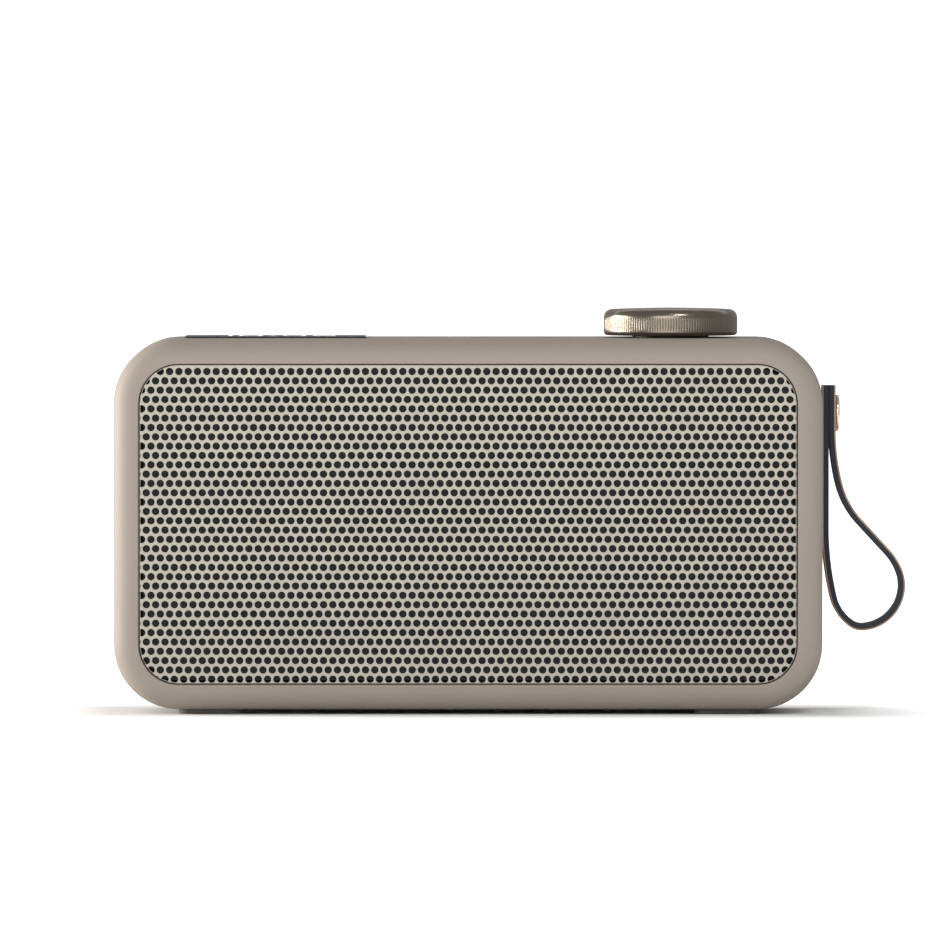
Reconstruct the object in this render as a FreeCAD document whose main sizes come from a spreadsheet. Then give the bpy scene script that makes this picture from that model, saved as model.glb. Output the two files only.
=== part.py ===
import FreeCAD, Part
import math
import os
import re

import Sketcher

# Portable radio in one frame, millimetres: +X to the right seen from the front, +Y to the back,
# +Z up. The origin lies on the floor, under the middle of the body.

SIZES = {
    # body
    "body_width": 200.4,
    "body_height": 104.8,
    "body_depth": 58,
    "corner_radius": 18.4,
    "wall": 2.6,
    "edge_round": 6,
    "front_rim": 7.1,
    "mouth_bevel": 0.25,
    "front_lip": 6,
    "cover_depth": 9,
    "seam_round": 0.3,
    "screw_radius": 1.2,
    "screw_slack": 0.2,
    "screw_grip": 9,
    "small_screw": 0.75,
    "small_grip": 2.5,
    "boss_radius": 4,
    "boss_bite": 0.8,
    "boss_gap": 2,
    # feet
    "foot_height": 1.4,
    "foot_width": 18,
    "foot_depth": 9,
    "foot_inset": 27.3,
    "foot_front_inset": 12.5,
    "foot_rear_inset": 16.5,
    "foot_seat": 0.8,
    # grille
    "grille_recess": 0.8,
    "grille_gap": 0.3,
    "grille_roll": 0.12,
    "grille_sheet": 1,
    "cloth_thickness": 0.3,
    # baffle and speakers
    "baffle_thickness": 2.5,
    "baffle_gap": 0.2,
    "driver_offset": 58,
    "driver_radius": 30,
    "cone_radius": 20,
    "coil_radius": 9,
    "driver_flange": 1.5,
    "driver_length": 22,
    "driver_throat": 13.2,
    "driver_opening": 26,
    "basket_wall": 1.5,
    "back_plate": 2,
    "cone_wall": 0.6,
    "cap_rise": 2.4,
    "roll_width": 5,
    "magnet_radius": 16,
    "roll_thickness": 0.4,
    "radiator_width": 44,
    "radiator_height": 70,
    "radiator_land": 4,
    # controls on top
    "display_left": 80.5,
    "display_width": 51.7,
    "display_depth": 32,
    "glass_thickness": 1.8,
    "raised": 0.5,
    "key_radius": 6.6,
    "key_pitch": 18.1,
    "key_middle": 7.5,
    "key_gap": 0.25,
    "key_travel": 0.4,
    "key_flange": 0.9,
    "key_stem": 1.8,
    "top_board_drop": 4.5,
    "board_thickness": 1.6,
    "knob_offset": 57.45,
    "knob_radius": 19,
    "knob_height": 7.9,
    "knob_gap": 0.6,
    "knob_edge": 2.4,
    "knob_hollow": 2.5,
    "knob_crown": 0.4,
    "collar_radius": 10.8,
    "collar_height": 1,
    "shaft_radius": 3,
    "running_gap": 0.08,
    "knob_travel": 0.5,
    # back
    "power_offset": 62,
    "power_level": 60,
    "power_radius": 5,
    "port_offset": 58,
    "port_level": 32,
    "port_pitch": 18,
    "jack_radius": 1.8,
    "jack_wall": 1.4,
    "port_height": 14,
    "usb_width": 8.8,
    "usb_height": 3.2,
    "usb_wall": 0.3,
    "main_board_back": 5.4,
    # battery
    "cell_radius": 9.2,
    "cell_length": 65,
    "battery_level": 17,
    "battery_back": 9,
    # aerial
    "aerial_offset": 80,
    "aerial_back": 4,
    "aerial_drop": 4,
    "aerial_radius": 3,
    "aerial_wall": 0.4,
    "aerial_step": 0.5,
    "aerial_length": 140,
    "aerial_knuckle": 5.4,
    "aerial_foot": 5.8,
    "pin_radius": 0.9,
    # strap
    "strap_width": 12,
    "strap_thickness": 1.9,
    "strap_drop": 21.5,
    "strap_tail": 7.9,
    "strap_gap": 0.2,
    "strap_leg": 32.3,
    "strap_lean": 13.3,
    "strap_lean_radius": 86,
    "strap_sweep": 41.1,
    "strap_sweep_radius": 13,
    "strap_toe": 39.2,
    "strap_toe_radius": 5.1,
    "strap_bowl_radius": 11.7,
    "strap_shoulder": 19.3,
    "strap_shoulder_radius": 17,
    "strap_return": 28.3,
    "strap_return_radius": 24.6,
    "strap_rise": 14.3,
    "strap_rise_radius": 62.4,
    "strap_seam": 3,
    "post_radius": 2.5,
    "stud_radius": 5.2,
    "stud_height": 1.1,
    "stud_round": 0.35,
    # shared by every cut
    "overrun": 1,
}

# Levels and depths that many pieces share, written in terms of the sizes above.
BOTTOM = "foot_height"
TOP = "(foot_height + body_height)"
MIDDLE = "(foot_height + body_height / 2)"
FRONT = "(-body_depth / 2)"
BACK = "(body_depth / 2)"
SEAM = "(body_depth / 2 - cover_depth)"
RIM_BACK = "(front_lip - body_depth / 2)"
CEILING = f"({TOP} - wall)"
SIDE = "(body_width / 2)"
BAFFLE_BACK = f"({RIM_BACK} + baffle_thickness)"
BOARD_TOP = f"({CEILING} - top_board_drop)"
BOSS_REACH = "((corner_radius - wall - boss_radius + boss_bite) * sqrt(0.5))"
BOSS_X = f"(body_width / 2 - corner_radius + {BOSS_REACH})"
BOSS_LOW = f"({BOTTOM} + corner_radius - {BOSS_REACH})"
PILLAR_X = f"({SIDE} - wall - boss_radius + boss_bite)"
PILLAR_Z = f"({MIDDLE} + 0.15 * body_height)"
AERIAL_Y = f"({BACK} - aerial_back)"
AERIAL_Z = f"({TOP} - aerial_drop)"
SHELF = f"({AERIAL_Z} - aerial_drop)"
SHELF_FRONT = f"({AERIAL_Y} - aerial_radius - 0.8)"
STRAP_Z = f"({TOP} - strap_drop)"

doc = FreeCAD.newDocument("portable_radio")
sheet = doc.addObject("Spreadsheet::Sheet", "sizes")
for row, (word, number) in enumerate(SIZES.items(), start=1):
    sheet.set(f"A{row}", word)
    sheet.set(f"B{row}", str(number))
    sheet.setAlias(f"B{row}", word)
doc.recompute()

NODES = []


def tied(formula):
    """The formula as FreeCAD reads it, with each size written as its cell in the sheet."""
    return re.sub(r"[a-z_]+", lambda m: "sizes." + m[0] if m[0] in SIZES else m[0], str(formula))


def value(formula):
    """The number that a formula of the sheet's sizes comes to."""
    return float(sheet.evalExpression(tied(formula)))


def bind(thing, **formulas):
    """Ties properties of an object to formulas; x, y and z stand for its position."""
    for name, formula in formulas.items():
        path = f"Placement.Base.{name}" if name in "xyz" else name
        thing.setExpression(path, tied(formula))
    return thing


def keep(thing, label):
    """Names an object as a finished sub-part."""
    thing.Label = label
    NODES.append(thing)
    return thing


def turn(along):
    """The rotation that lays a Z axis along another axis."""
    turns = {"x": (0, 1, 0, 90), "y": (1, 0, 0, -90), "z": (0, 0, 1, 0), "-x": (0, 1, 0, -90)}
    ax, ay, az, angle = turns[along]
    return FreeCAD.Rotation(FreeCAD.Vector(ax, ay, az), angle)


def block(x, y, z):
    """A box between two formulas on each axis."""
    box = doc.addObject("Part::Box", "block")
    sides = {"Length": x, "Width": y, "Height": z}
    for name, (low, high) in sides.items():
        bind(box, **{name: f"({high}) - ({low})"})
    return bind(box, x=x[0], y=y[0], z=z[0])


def rod(radius, length, at, along="z"):
    """A cylinder that starts at a point and runs along an axis."""
    cylinder = doc.addObject("Part::Cylinder", "rod")
    cylinder.Placement.Rotation = turn(along)
    bind(cylinder, Radius=radius, Height=length)
    return bind(cylinder, x=at[0], y=at[1], z=at[2])


def joined(*pieces):
    """Several solids made into one."""
    fuse = doc.addObject("Part::MultiFuse", "joined")
    fuse.Shapes = list(pieces)
    return fuse


def group(*pieces):
    """Several separate solids kept in one object."""
    compound = doc.addObject("Part::Compound", "group")
    compound.Links = list(pieces)
    return compound


def cut(base, *tools):
    """The base with every tool taken away."""
    difference = doc.addObject("Part::Cut", "cut")
    difference.Base = base
    difference.Tool = tools[0] if len(tools) == 1 else joined(*tools)
    return difference


def sketch_on(body, plane):
    """An empty sketch on one of the body's own base planes."""
    sketch = body.newObject("Sketcher::SketchObject", "outline")
    base = [feature for feature in body.Origin.OriginFeatures if feature.Role == plane]
    sketch.AttachmentSupport = [(base[0], "")]
    sketch.MapMode = "FlatFace"
    return sketch


def draw_rounded(sketch, left, right, low, high, radius):
    """A rectangle with four equal round corners, each side and the radius tied to a formula."""
    x0, x1, y0, y1, r = (value(item) for item in (left, right, low, high, radius))
    point = lambda x, y: FreeCAD.Vector(x, y, 0)
    sides = [((x0 + r, y0), (x1 - r, y0)), ((x1, y0 + r), (x1, y1 - r)),
             ((x1 - r, y1), (x0 + r, y1)), ((x0, y1 - r), (x0, y0 + r))]
    centres = [(x1 - r, y0 + r), (x1 - r, y1 - r), (x0 + r, y1 - r), (x0 + r, y0 + r)]
    for start, end in sides:
        sketch.addGeometry(Part.LineSegment(point(*start), point(*end)), False)
    for index, centre in enumerate(centres):
        circle = Part.Circle(point(*centre), FreeCAD.Vector(0, 0, 1), r)
        begin = (index - 1) * math.pi / 2
        sketch.addGeometry(Part.ArcOfCircle(circle, begin, begin + math.pi / 2), False)
    for index in range(4):
        sketch.addConstraint(Sketcher.Constraint("Tangent", index, 2, 4 + index, 1))
        sketch.addConstraint(Sketcher.Constraint("Tangent", 4 + index, 2, (index + 1) % 4, 1))
        kind = "Vertical" if index % 2 else "Horizontal"
        sketch.addConstraint(Sketcher.Constraint(kind, index))
    for index in range(1, 4):
        sketch.addConstraint(Sketcher.Constraint("Equal", 4, 4 + index))
    ties = [(Sketcher.Constraint("Radius", 4, r), radius),
            (Sketcher.Constraint("DistanceX", -1, 1, 3, 1, x0), left),
            (Sketcher.Constraint("DistanceX", -1, 1, 1, 1, x1), right),
            (Sketcher.Constraint("DistanceY", -1, 1, 0, 1, y0), low),
            (Sketcher.Constraint("DistanceY", -1, 1, 2, 1, y1), high)]
    for constraint, formula in ties:
        number = sketch.addConstraint(constraint)
        sketch.setExpression(f"Constraints[{number}]", tied(formula))


def slab(x, y, z, radius, across="y", name="slab"):
    """A body with a rounded outline square to one axis, filled between two planes."""
    body = doc.addObject("PartDesign::Body", name)
    plane = {"y": "XZ_Plane", "z": "XY_Plane", "x": "YZ_Plane"}[across]
    sketch = sketch_on(body, plane)
    flat = {"y": (x, z, y), "z": (x, y, z), "x": (y, z, x)}[across]
    draw_rounded(sketch, *flat[0], *flat[1], radius)
    low, high = flat[2]
    lift = f"-({high})" if across == "y" else low
    sketch.setExpression("AttachmentOffset.Base.z", tied(lift))
    pad = body.newObject("PartDesign::Pad", "pad")
    pad.Profile = sketch
    bind(pad, Length=f"({high}) - ({low})")
    return body


def softened(body, axis, level, size, kind="Fillet"):
    """Rounds or bevels every edge of the body that lies in one plane square to an axis."""
    doc.recompute()
    base = body.Tip
    height = value(level)
    flat = [f"Edge{i}" for i, edge in enumerate(base.Shape.Edges, start=1)
            if abs(getattr(edge.BoundBox, axis + "Min") - height) < 0.01
            and abs(getattr(edge.BoundBox, axis + "Max") - height) < 0.01]
    edge = body.newObject(f"PartDesign::{kind}", "softened")
    edge.Base = (base, flat)
    bind(edge, **{"Radius" if kind == "Fillet" else "Size": size})
    return body


def turned(profile, at, along="z", name="turned"):
    """A body turned about an axis from a list of (radius, distance along the axis) formulas."""
    body = doc.addObject("PartDesign::Body", name)
    sketch = sketch_on(body, "XZ_Plane")
    points = [(value(r), value(s)) for r, s in profile]
    count = len(points)
    for index, (r, s) in enumerate(points):
        end = points[(index + 1) % count]
        line = Part.LineSegment(FreeCAD.Vector(r, s, 0), FreeCAD.Vector(end[0], end[1], 0))
        sketch.addGeometry(line, False)
    for index in range(count):
        sketch.addConstraint(Sketcher.Constraint("Coincident", index, 2, (index + 1) % count, 1))
    for index, ((r, s), formulas) in enumerate(zip(points, profile)):
        for kind, number, formula in zip(("DistanceX", "DistanceY"), (r, s), formulas):
            tie = sketch.addConstraint(Sketcher.Constraint(kind, -1, 1, index, 1, number))
            sketch.setExpression(f"Constraints[{tie}]", tied(formula))
    revolution = body.newObject("PartDesign::Revolution", "turn")
    revolution.Profile = sketch
    revolution.ReferenceAxis = (sketch, ["V_Axis"])
    body.Placement.Rotation = turn(along)
    return bind(body, x=at[0], y=at[1], z=at[2])


def outline(inset, y, radius=None):
    """A slab with the body's outline drawn in by a distance on every side."""
    return slab((f"{inset} - {SIDE}", f"{SIDE} - ({inset})"), y,
                (f"{BOTTOM} + {inset}", f"{TOP} - ({inset})"),
                radius or f"corner_radius - ({inset})")


def corner_rods(radius, start, length):
    """Four rods along Y at the rear cover's screw places: two low corners and two side walls."""
    return [rod(radius, length, (f"{side} * {x}", start, z), "y")
            for side in (-1, 1) for x, z in ((BOSS_X, BOSS_LOW), (PILLAR_X, PILLAR_Z))]


def knob_hole():
    """The hole for the encoder's bush, through the top wall."""
    return rod("shaft_radius + 3", "wall + 2 * overrun", ("knob_offset", 0, f"{CEILING} - overrun"))


KEYS = {"key_left": "key_middle - key_pitch", "key_centre": "key_middle",
        "key_right": "key_middle + key_pitch"}
FEET = {f"foot_{end}_{side}": (f"{sign} * ({SIDE} - foot_inset)", y)
        for end, y in (("front", f"({FRONT} + foot_front_inset)"),
                       ("rear", f"({BACK} - foot_rear_inset)"))
        for side, sign in (("left", -1), ("right", 1))}


def foot_slab(place, low, high, gap):
    """The outline of one foot between two levels."""
    x, y = place
    return slab((f"{x} - foot_width / 2 - {gap}", f"{x} + foot_width / 2 + {gap}"),
                (f"{y} - foot_depth / 2 - {gap}", f"{y} + foot_depth / 2 + {gap}"),
                (low, high), "foot_depth / 3", "z")


def front_housing():
    """The sleeve with its rounded front rim, screw pillars and the openings of the top wall."""
    shell = softened(outline("0", (FRONT, SEAM)), "Y", FRONT, "edge_round")
    shell = softened(shell, "Y", SEAM, "seam_round")
    bevel_back = f"({FRONT} + mouth_bevel)"
    bevel = softened(outline("front_rim - mouth_bevel", (f"{FRONT} - overrun", bevel_back)),
                     "Y", bevel_back, "mouth_bevel", "Chamfer")
    mouth = joined(bevel, outline("front_rim", (f"{FRONT} - overrun", f"{RIM_BACK} + overrun")))
    hollow = outline("wall", (RIM_BACK, f"{SEAM} + overrun"))
    foot_of_boss = f"({BAFFLE_BACK} + boss_gap)"
    pillars = corner_rods("boss_radius", foot_of_boss, f"{SEAM} - {foot_of_boss}")
    pilot_holes = corner_rods("screw_radius", f"{SEAM} - screw_grip - 3", "screw_grip + 3 + overrun")
    frame = "3"
    glass_seat = slab(("-display_left", "display_width - display_left"),
                      ("-display_depth / 2", "display_depth / 2"),
                      (f"{TOP} - glass_thickness + raised", f"{TOP} + overrun"), "1.5", "z")
    window = block((f"{frame} - display_left", f"display_width - display_left - {frame}"),
                   (f"{frame} - display_depth / 2", f"display_depth / 2 - {frame}"),
                   (f"{CEILING} - overrun", f"{TOP} - overrun"))
    key_holes = [rod("key_radius + key_gap", "wall + 2 * overrun", (x, 0, f"{CEILING} - overrun"))
                 for x in KEYS.values()]
    foot_seats = [foot_slab(place, f"{BOTTOM} - overrun", f"{BOTTOM} + foot_seat", "0")
                  for place in FEET.values()]
    post_hole = rod("post_radius", "wall + 2 * overrun", (f"{SIDE} - wall - overrun", 0, STRAP_Z), "x")
    rim_holes = [rod("screw_radius", "small_grip + 1 + overrun",
                     (x, f"{RIM_BACK} - small_grip - 0.5", z), "y") for x, z in rim_places()]
    body = joined(cut(shell, mouth, hollow), *pillars, *board_pillars("wall"))
    return keep(cut(body, glass_seat, window, knob_hole(), post_hole, *key_holes, *foot_seats,
                    *pilot_holes, *rim_holes, *board_pillar_holes()), "front_housing")


def rim_places():
    """Where screws hold the baffle to the back of the front rim."""
    side = f"({SIDE} - (front_rim + wall) / 2)"
    low = f"({BOTTOM} + (front_rim + wall) / 2)"
    high = f"({TOP} - (front_rim + wall) / 2)"
    return [(f"{sign} * {side}", f"{MIDDLE} + {step} * body_height / 5")
            for sign in (-1, 1) for step in (-1, 1)] + [("0", low), ("0", high)]


def board_places():
    """Where screws hold the upper board under the top wall."""
    return [(x, y) for x in ("-display_left - 5", "(key_middle + key_pitch + knob_offset) / 2")
            for y in ("-10", "10")]


def board_pillars(bite):
    """Short pillars from the top wall down to the upper board."""
    return [rod("screw_radius + 1.3", f"top_board_drop + {bite} / 2", (x, y, BOARD_TOP))
            for x, y in board_places()]


def board_pillar_holes():
    """Pilot holes in those pillars."""
    return [rod("small_screw + 0.05", "top_board_drop", (x, y, f"{BOARD_TOP} - overrun"))
            for x, y in board_places()]


def rear_cover():
    """The tray that closes the back, with the aerial's shelf, the ports and the power button."""
    shell = softened(outline("0", (SEAM, BACK)), "Y", BACK, "edge_round")
    shell = softened(shell, "Y", SEAM, "seam_round")
    shelf = block((f"-{SIDE} - overrun", f"{SIDE} + overrun"),
                  (SHELF_FRONT, f"{BACK} + overrun"), (SHELF, f"{TOP} + overrun"))
    hollow = slab((f"wall - {SIDE}", f"{SIDE} - wall"), (f"{SEAM} - overrun", f"{BACK} - wall"),
                  (f"{BOTTOM} + wall", f"{SHELF} - wall"), "corner_radius - wall")
    socket_block = block(("aerial_offset - 6", "aerial_offset + 6"), (SEAM, f"{BACK} - wall / 2"),
                         (f"{SHELF} - aerial_foot - 1.5", f"{SHELF} - wall / 2"))
    socket = rod("aerial_radius + running_gap", "aerial_foot + 1",
                 ("aerial_offset", AERIAL_Y, f"{SHELF} - aerial_foot"))
    bosses = corner_rods("boss_radius", SEAM, "cover_depth - wall / 2")
    holes = corner_rods("screw_radius + screw_slack", f"{SEAM} - overrun", "cover_depth + 2 * overrun")
    sinks = corner_rods("screw_radius * 2", f"{BACK} - wall", "wall + overrun")
    port_panel = slab(("port_offset - port_pitch", "port_offset + port_pitch"),
                      (f"{BACK} - wall / 2", f"{BACK} + overrun"),
                      ("port_level - port_height / 2", "port_level + port_height / 2"),
                      "port_height / 2 - 0.5")
    usb_hole = usb_slab("0.1", f"{BACK} - wall - overrun", BACK)
    jack_hole = rod("jack_radius + jack_wall + screw_slack", "wall + 2 * overrun",
                    ("port_offset + port_pitch / 2", f"{BACK} - wall - overrun", "port_level"), "y")
    button_hole = rod("power_radius + key_gap", "wall + 2 * overrun",
                      ("-power_offset", f"{BACK} - wall - overrun", "power_level"), "y")
    tray = cut(shell, shelf, hollow)
    solid = joined(tray, *bosses, socket_block)
    return keep(cut(solid, socket, port_panel, usb_hole, jack_hole, button_hole, *holes, *sinks),
                "rear_cover")


def front_grille():
    """The metal sheet over the front, folded back round its edge to rest on the baffle."""
    sheet_front = f"({FRONT} + grille_recess)"
    pan = softened(outline("(front_rim + grille_gap)", (sheet_front, RIM_BACK)), "Y", sheet_front,
                   "grille_roll")
    hollow = outline("(front_rim + grille_gap + grille_sheet)",
                     (f"{sheet_front} + grille_sheet", f"{RIM_BACK} + overrun"))
    return keep(cut(pan, hollow), "front_grille")


def grille_cloth():
    """Black cloth bonded behind the grille."""
    face = f"({FRONT} + grille_recess + grille_sheet)"
    return keep(outline("(front_rim + grille_gap + grille_sheet)",
                        (face, f"{face} + cloth_thickness")), "grille_cloth")


def baffle():
    """The board that carries the drivers and the passive radiator."""
    board = outline("(wall + baffle_gap)", (RIM_BACK, BAFFLE_BACK))
    driver_holes = [rod("driver_opening", "baffle_thickness + 2 * overrun",
                        (f"{sign} * driver_offset", f"{RIM_BACK} - overrun", MIDDLE), "y")
                    for sign in (-1, 1)]
    window = slab(("-radiator_width / 2", "radiator_width / 2"),
                  (f"{RIM_BACK} - overrun", f"{BAFFLE_BACK} + overrun"),
                  (f"{MIDDLE} - radiator_height / 2", f"{MIDDLE} + radiator_height / 2"),
                  "radiator_land * 2")
    screw_holes = [rod("screw_radius", "baffle_thickness + 2 * overrun",
                       (x, f"{RIM_BACK} - overrun", z), "y")
                   for x, z in rim_places()]
    pilots = [rod("small_screw + 0.05", "baffle_thickness", (x, f"{BAFFLE_BACK} - 1.5", z), "y")
              for x, z in driver_screw_places(-1, 1) + radiator_screw_places()]
    return keep(cut(board, *driver_holes, window, *screw_holes, *pilots), "baffle")


def driver_screw_places(*sides):
    """Four screws round each driver, on its flange."""
    reach = "((driver_radius + driver_opening) / 2 * sqrt(0.5))"
    return [(f"{side} * driver_offset + {across} * {reach}", f"{MIDDLE} + {up} * {reach}")
            for side in sides for across in (-1, 1) for up in (-1, 1)]


def radiator_screw_places():
    """Two screws above and two below the passive radiator."""
    lift = "(radiator_height + radiator_land) / 2"
    return [(f"{across} * radiator_width / 4", f"{MIDDLE} + {up} * {lift}")
            for across in (-1, 1) for up in (-1, 1)]


def flange_holes(places):
    """Holes for small screws through a driver's flange or the radiator's frame."""
    return [rod("small_screw + 0.05", "driver_flange + 2 * overrun",
                (x, f"{BAFFLE_BACK} - overrun", z), "y") for x, z in places]


def screw(x, y, z, radius, length, along, head="screw_radius * 1.6"):
    """A pan-head screw whose head rests at a point and whose shank runs on along an axis."""
    shank = f"({length})"
    sign = "-" if along == "-y" else ""
    axis = along[-1]
    profile = [("0", f"{sign}{shank}"), (radius, f"{sign}{shank}"), (radius, "0"), (head, "0"),
               (head, f"-{sign}screw_radius" if not sign else "screw_radius"),
               ("0", f"-{sign}screw_radius" if not sign else "screw_radius")]
    return turned(profile, (x, y, z), axis)


def screws():
    """Every screw, in one group for each job."""
    baffle_set = [screw(x, BAFFLE_BACK, z, "screw_radius - 0.06", "baffle_thickness + small_grip", "-y",
                        "(front_rim - wall) / 2 - 0.15") for x, z in rim_places()]
    keep(group(*baffle_set), "baffle_screws")
    flange = f"({BAFFLE_BACK} + driver_flange)"
    places = driver_screw_places(-1, 1) + radiator_screw_places()
    speaker_set = [screw(x, flange, z, "small_screw", "driver_flange + 1.3", "-y",
                         "screw_radius * 1.4") for x, z in places]
    keep(group(*speaker_set), "speaker_screws")
    cover_set = [screw(f"{side} * {x}", f"{BACK} - wall", z, "screw_radius - 0.06",
                       "cover_depth - wall + screw_grip", "-y")
                 for side in (-1, 1) for x, z in ((BOSS_X, BOSS_LOW), (PILLAR_X, PILLAR_Z))]
    keep(group(*cover_set), "rear_cover_screws")
    board_set = [screw(x, y, f"{BOARD_TOP} - board_thickness", "small_screw",
                       "board_thickness + small_grip", "z") for x, y in board_places()]
    keep(group(*board_set), "upper_board_screws")


def driver(side, sign):
    """One two-inch driver: basket, magnet, yoke, cone, surround, dust cap and voice coil."""
    at = (f"{sign} * driver_offset", BAFFLE_BACK, MIDDLE)
    throat = "driver_throat"
    neck = "driver_throat + basket_wall"
    basket = turned([("driver_opening - 3", "0"), ("driver_radius", "0"),
                     ("driver_radius", "driver_flange"), ("driver_opening - 1", "driver_flange"),
                     ("magnet_radius + basket_wall", throat), ("magnet_radius", neck),
                     ("coil_radius + 1", neck), ("coil_radius + 1", throat),
                     ("magnet_radius", throat), ("driver_opening - 3", "driver_flange")], at, "y")
    level = f"{BAFFLE_BACK} + driver_length / 3"
    windows = [rod("driver_length / 6", "2 * driver_radius",
                   (f"{at[0]} - driver_radius", level, MIDDLE), "x"),
               rod("driver_length / 6", "2 * driver_radius",
                   (at[0], level, f"{MIDDLE} - driver_radius"), "z")]
    holes = flange_holes(driver_screw_places(sign))
    keep(cut(basket, *windows, *holes), f"{side}_basket")
    gap_radius, plate = "coil_radius + 1.5", "driver_length - back_plate"
    keep(turned([(gap_radius, neck), ("magnet_radius", neck), ("magnet_radius", plate),
                 (gap_radius, plate)], at, "y"), f"{side}_magnet")
    pole, rim = "coil_radius - 0.8", "magnet_radius - 0.5"
    keep(turned([("0", throat), (pole, throat), (pole, plate), (rim, plate),
                 (rim, "driver_length"), ("0", "driver_length")], at, "y"), f"{side}_yoke")
    inner, outer = "coil_radius - cone_wall / 2", "coil_radius + cone_wall / 2"
    root = "2 * cap_rise + 0.2"
    keep(turned([(inner, root), (outer, root), (outer, f"{throat} + 2"), (inner, f"{throat} + 2")],
                at, "y"), f"{side}_coil")
    keep(turned([(outer, f"{root} + 0.2"), ("cone_radius", "0.2"), ("cone_radius", "0.2 + cone_wall"),
                 (outer, f"{root} + 0.2 + cone_wall")], at, "y"), f"{side}_cone")
    keep(turned([("0", "cap_rise"), ("coil_radius * 0.6", "cap_rise * 4 / 3"),
                 ("coil_radius", "2 * cap_rise - 0.2"), ("coil_radius", root),
                 ("0", "cap_rise + roll_thickness")], at, "y"), f"{side}_dust_cap")
    keep(turned(roll("cone_radius", "cone_radius + roll_width"), at, "y"), f"{side}_surround")


def roll(inner, outer):
    """The section of a half-round rubber roll between two radii, bulging to the front."""
    centre = f"({inner} + {outer}) / 2"
    reach = f"(({outer}) - ({inner})) / 2"
    angles = [math.radians(step) for step in range(0, 181, 30)]
    far = [(f"{centre} + {math.cos(a):.4f} * {reach}", f"-{math.sin(a):.4f} * {reach}")
           for a in angles]
    near = [(f"{centre} + {math.cos(a):.4f} * ({reach} - roll_thickness)",
             f"-{math.sin(a):.4f} * ({reach} - roll_thickness)") for a in reversed(angles)]
    return far + near


def radiator():
    """The passive radiator between the drivers: frame, roll and weighted plate."""
    wide, tall = "radiator_width / 2", "radiator_height / 2"
    land = "radiator_land"

    def ring(grow, y, radius):
        return slab((f"-({wide}) - ({grow})", f"{wide} + ({grow})"), y,
                    (f"{MIDDLE} - ({tall}) - ({grow})", f"{MIDDLE} + {tall} + ({grow})"), radius)

    back = f"({BAFFLE_BACK} + driver_flange)"
    frame = cut(ring(land, (BAFFLE_BACK, back), f"{land} * 3"),
                ring("0", (f"{BAFFLE_BACK} - overrun", f"{back} + overrun"), f"{land} * 2"))
    keep(cut(frame, *flange_holes(radiator_screw_places())), "radiator_frame")
    skirt = cut(ring("0", (BAFFLE_BACK, f"{BAFFLE_BACK} + 0.8"), f"{land} * 2"),
                ring(f"-{land}", (f"{BAFFLE_BACK} - overrun", f"{back} + overrun"), land))
    keep(skirt, "radiator_surround")
    keep(ring(f"-{land}", (f"{BAFFLE_BACK} - 0.6", f"{BAFFLE_BACK} + 1.4"), land), "radiator_plate")


def display():
    """Black glass set in the top wall, with its module underneath."""
    seat = f"({TOP} - glass_thickness + raised)"
    glass = slab(("0.2 - display_left", "display_width - display_left - 0.2"),
                 ("0.2 - display_depth / 2", "display_depth / 2 - 0.2"),
                 (seat, f"{TOP} + raised"), "1.3", "z")
    keep(softened(glass, "Z", f"{TOP} + raised", "0.3"), "display_glass")
    keep(block(("3.5 - display_left", "display_width - display_left - 3.5"),
               ("3.5 - display_depth / 2", "display_depth / 2 - 3.5"),
               (BOARD_TOP, seat)), "display_module")


def keys():
    """Three round keys with flanges under the top wall, each over its own switch. Each key ends
    flush with the wall, dished in its middle."""
    switches = []
    top = "(key_flange + wall)"
    for label, x in KEYS.items():
        start = f"({CEILING} - key_flange)"
        rim = "(key_radius + key_flange)"
        key = turned([("0", "-0.6"), ("key_stem", "-0.6"), ("key_stem", "0"), (rim, "0"),
                      (rim, "key_flange - 0.1"), ("key_radius", "key_flange - 0.1"),
                      ("key_radius", f"{top} - 0.3"), ("key_radius - 0.3", top),
                      ("key_radius - 0.8", top), ("key_radius / 2", f"{top} - 0.5"),
                      ("0", f"{top} - 0.6")], (x, 0, start))
        keep(key, label)
        switches.append(block((f"{x} - 3", f"{x} + 3"), ("-3", "3"),
                              (BOARD_TOP, f"{CEILING} - key_flange - 0.8 - key_travel")))
    keep(group(*switches), "key_switches")


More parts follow.
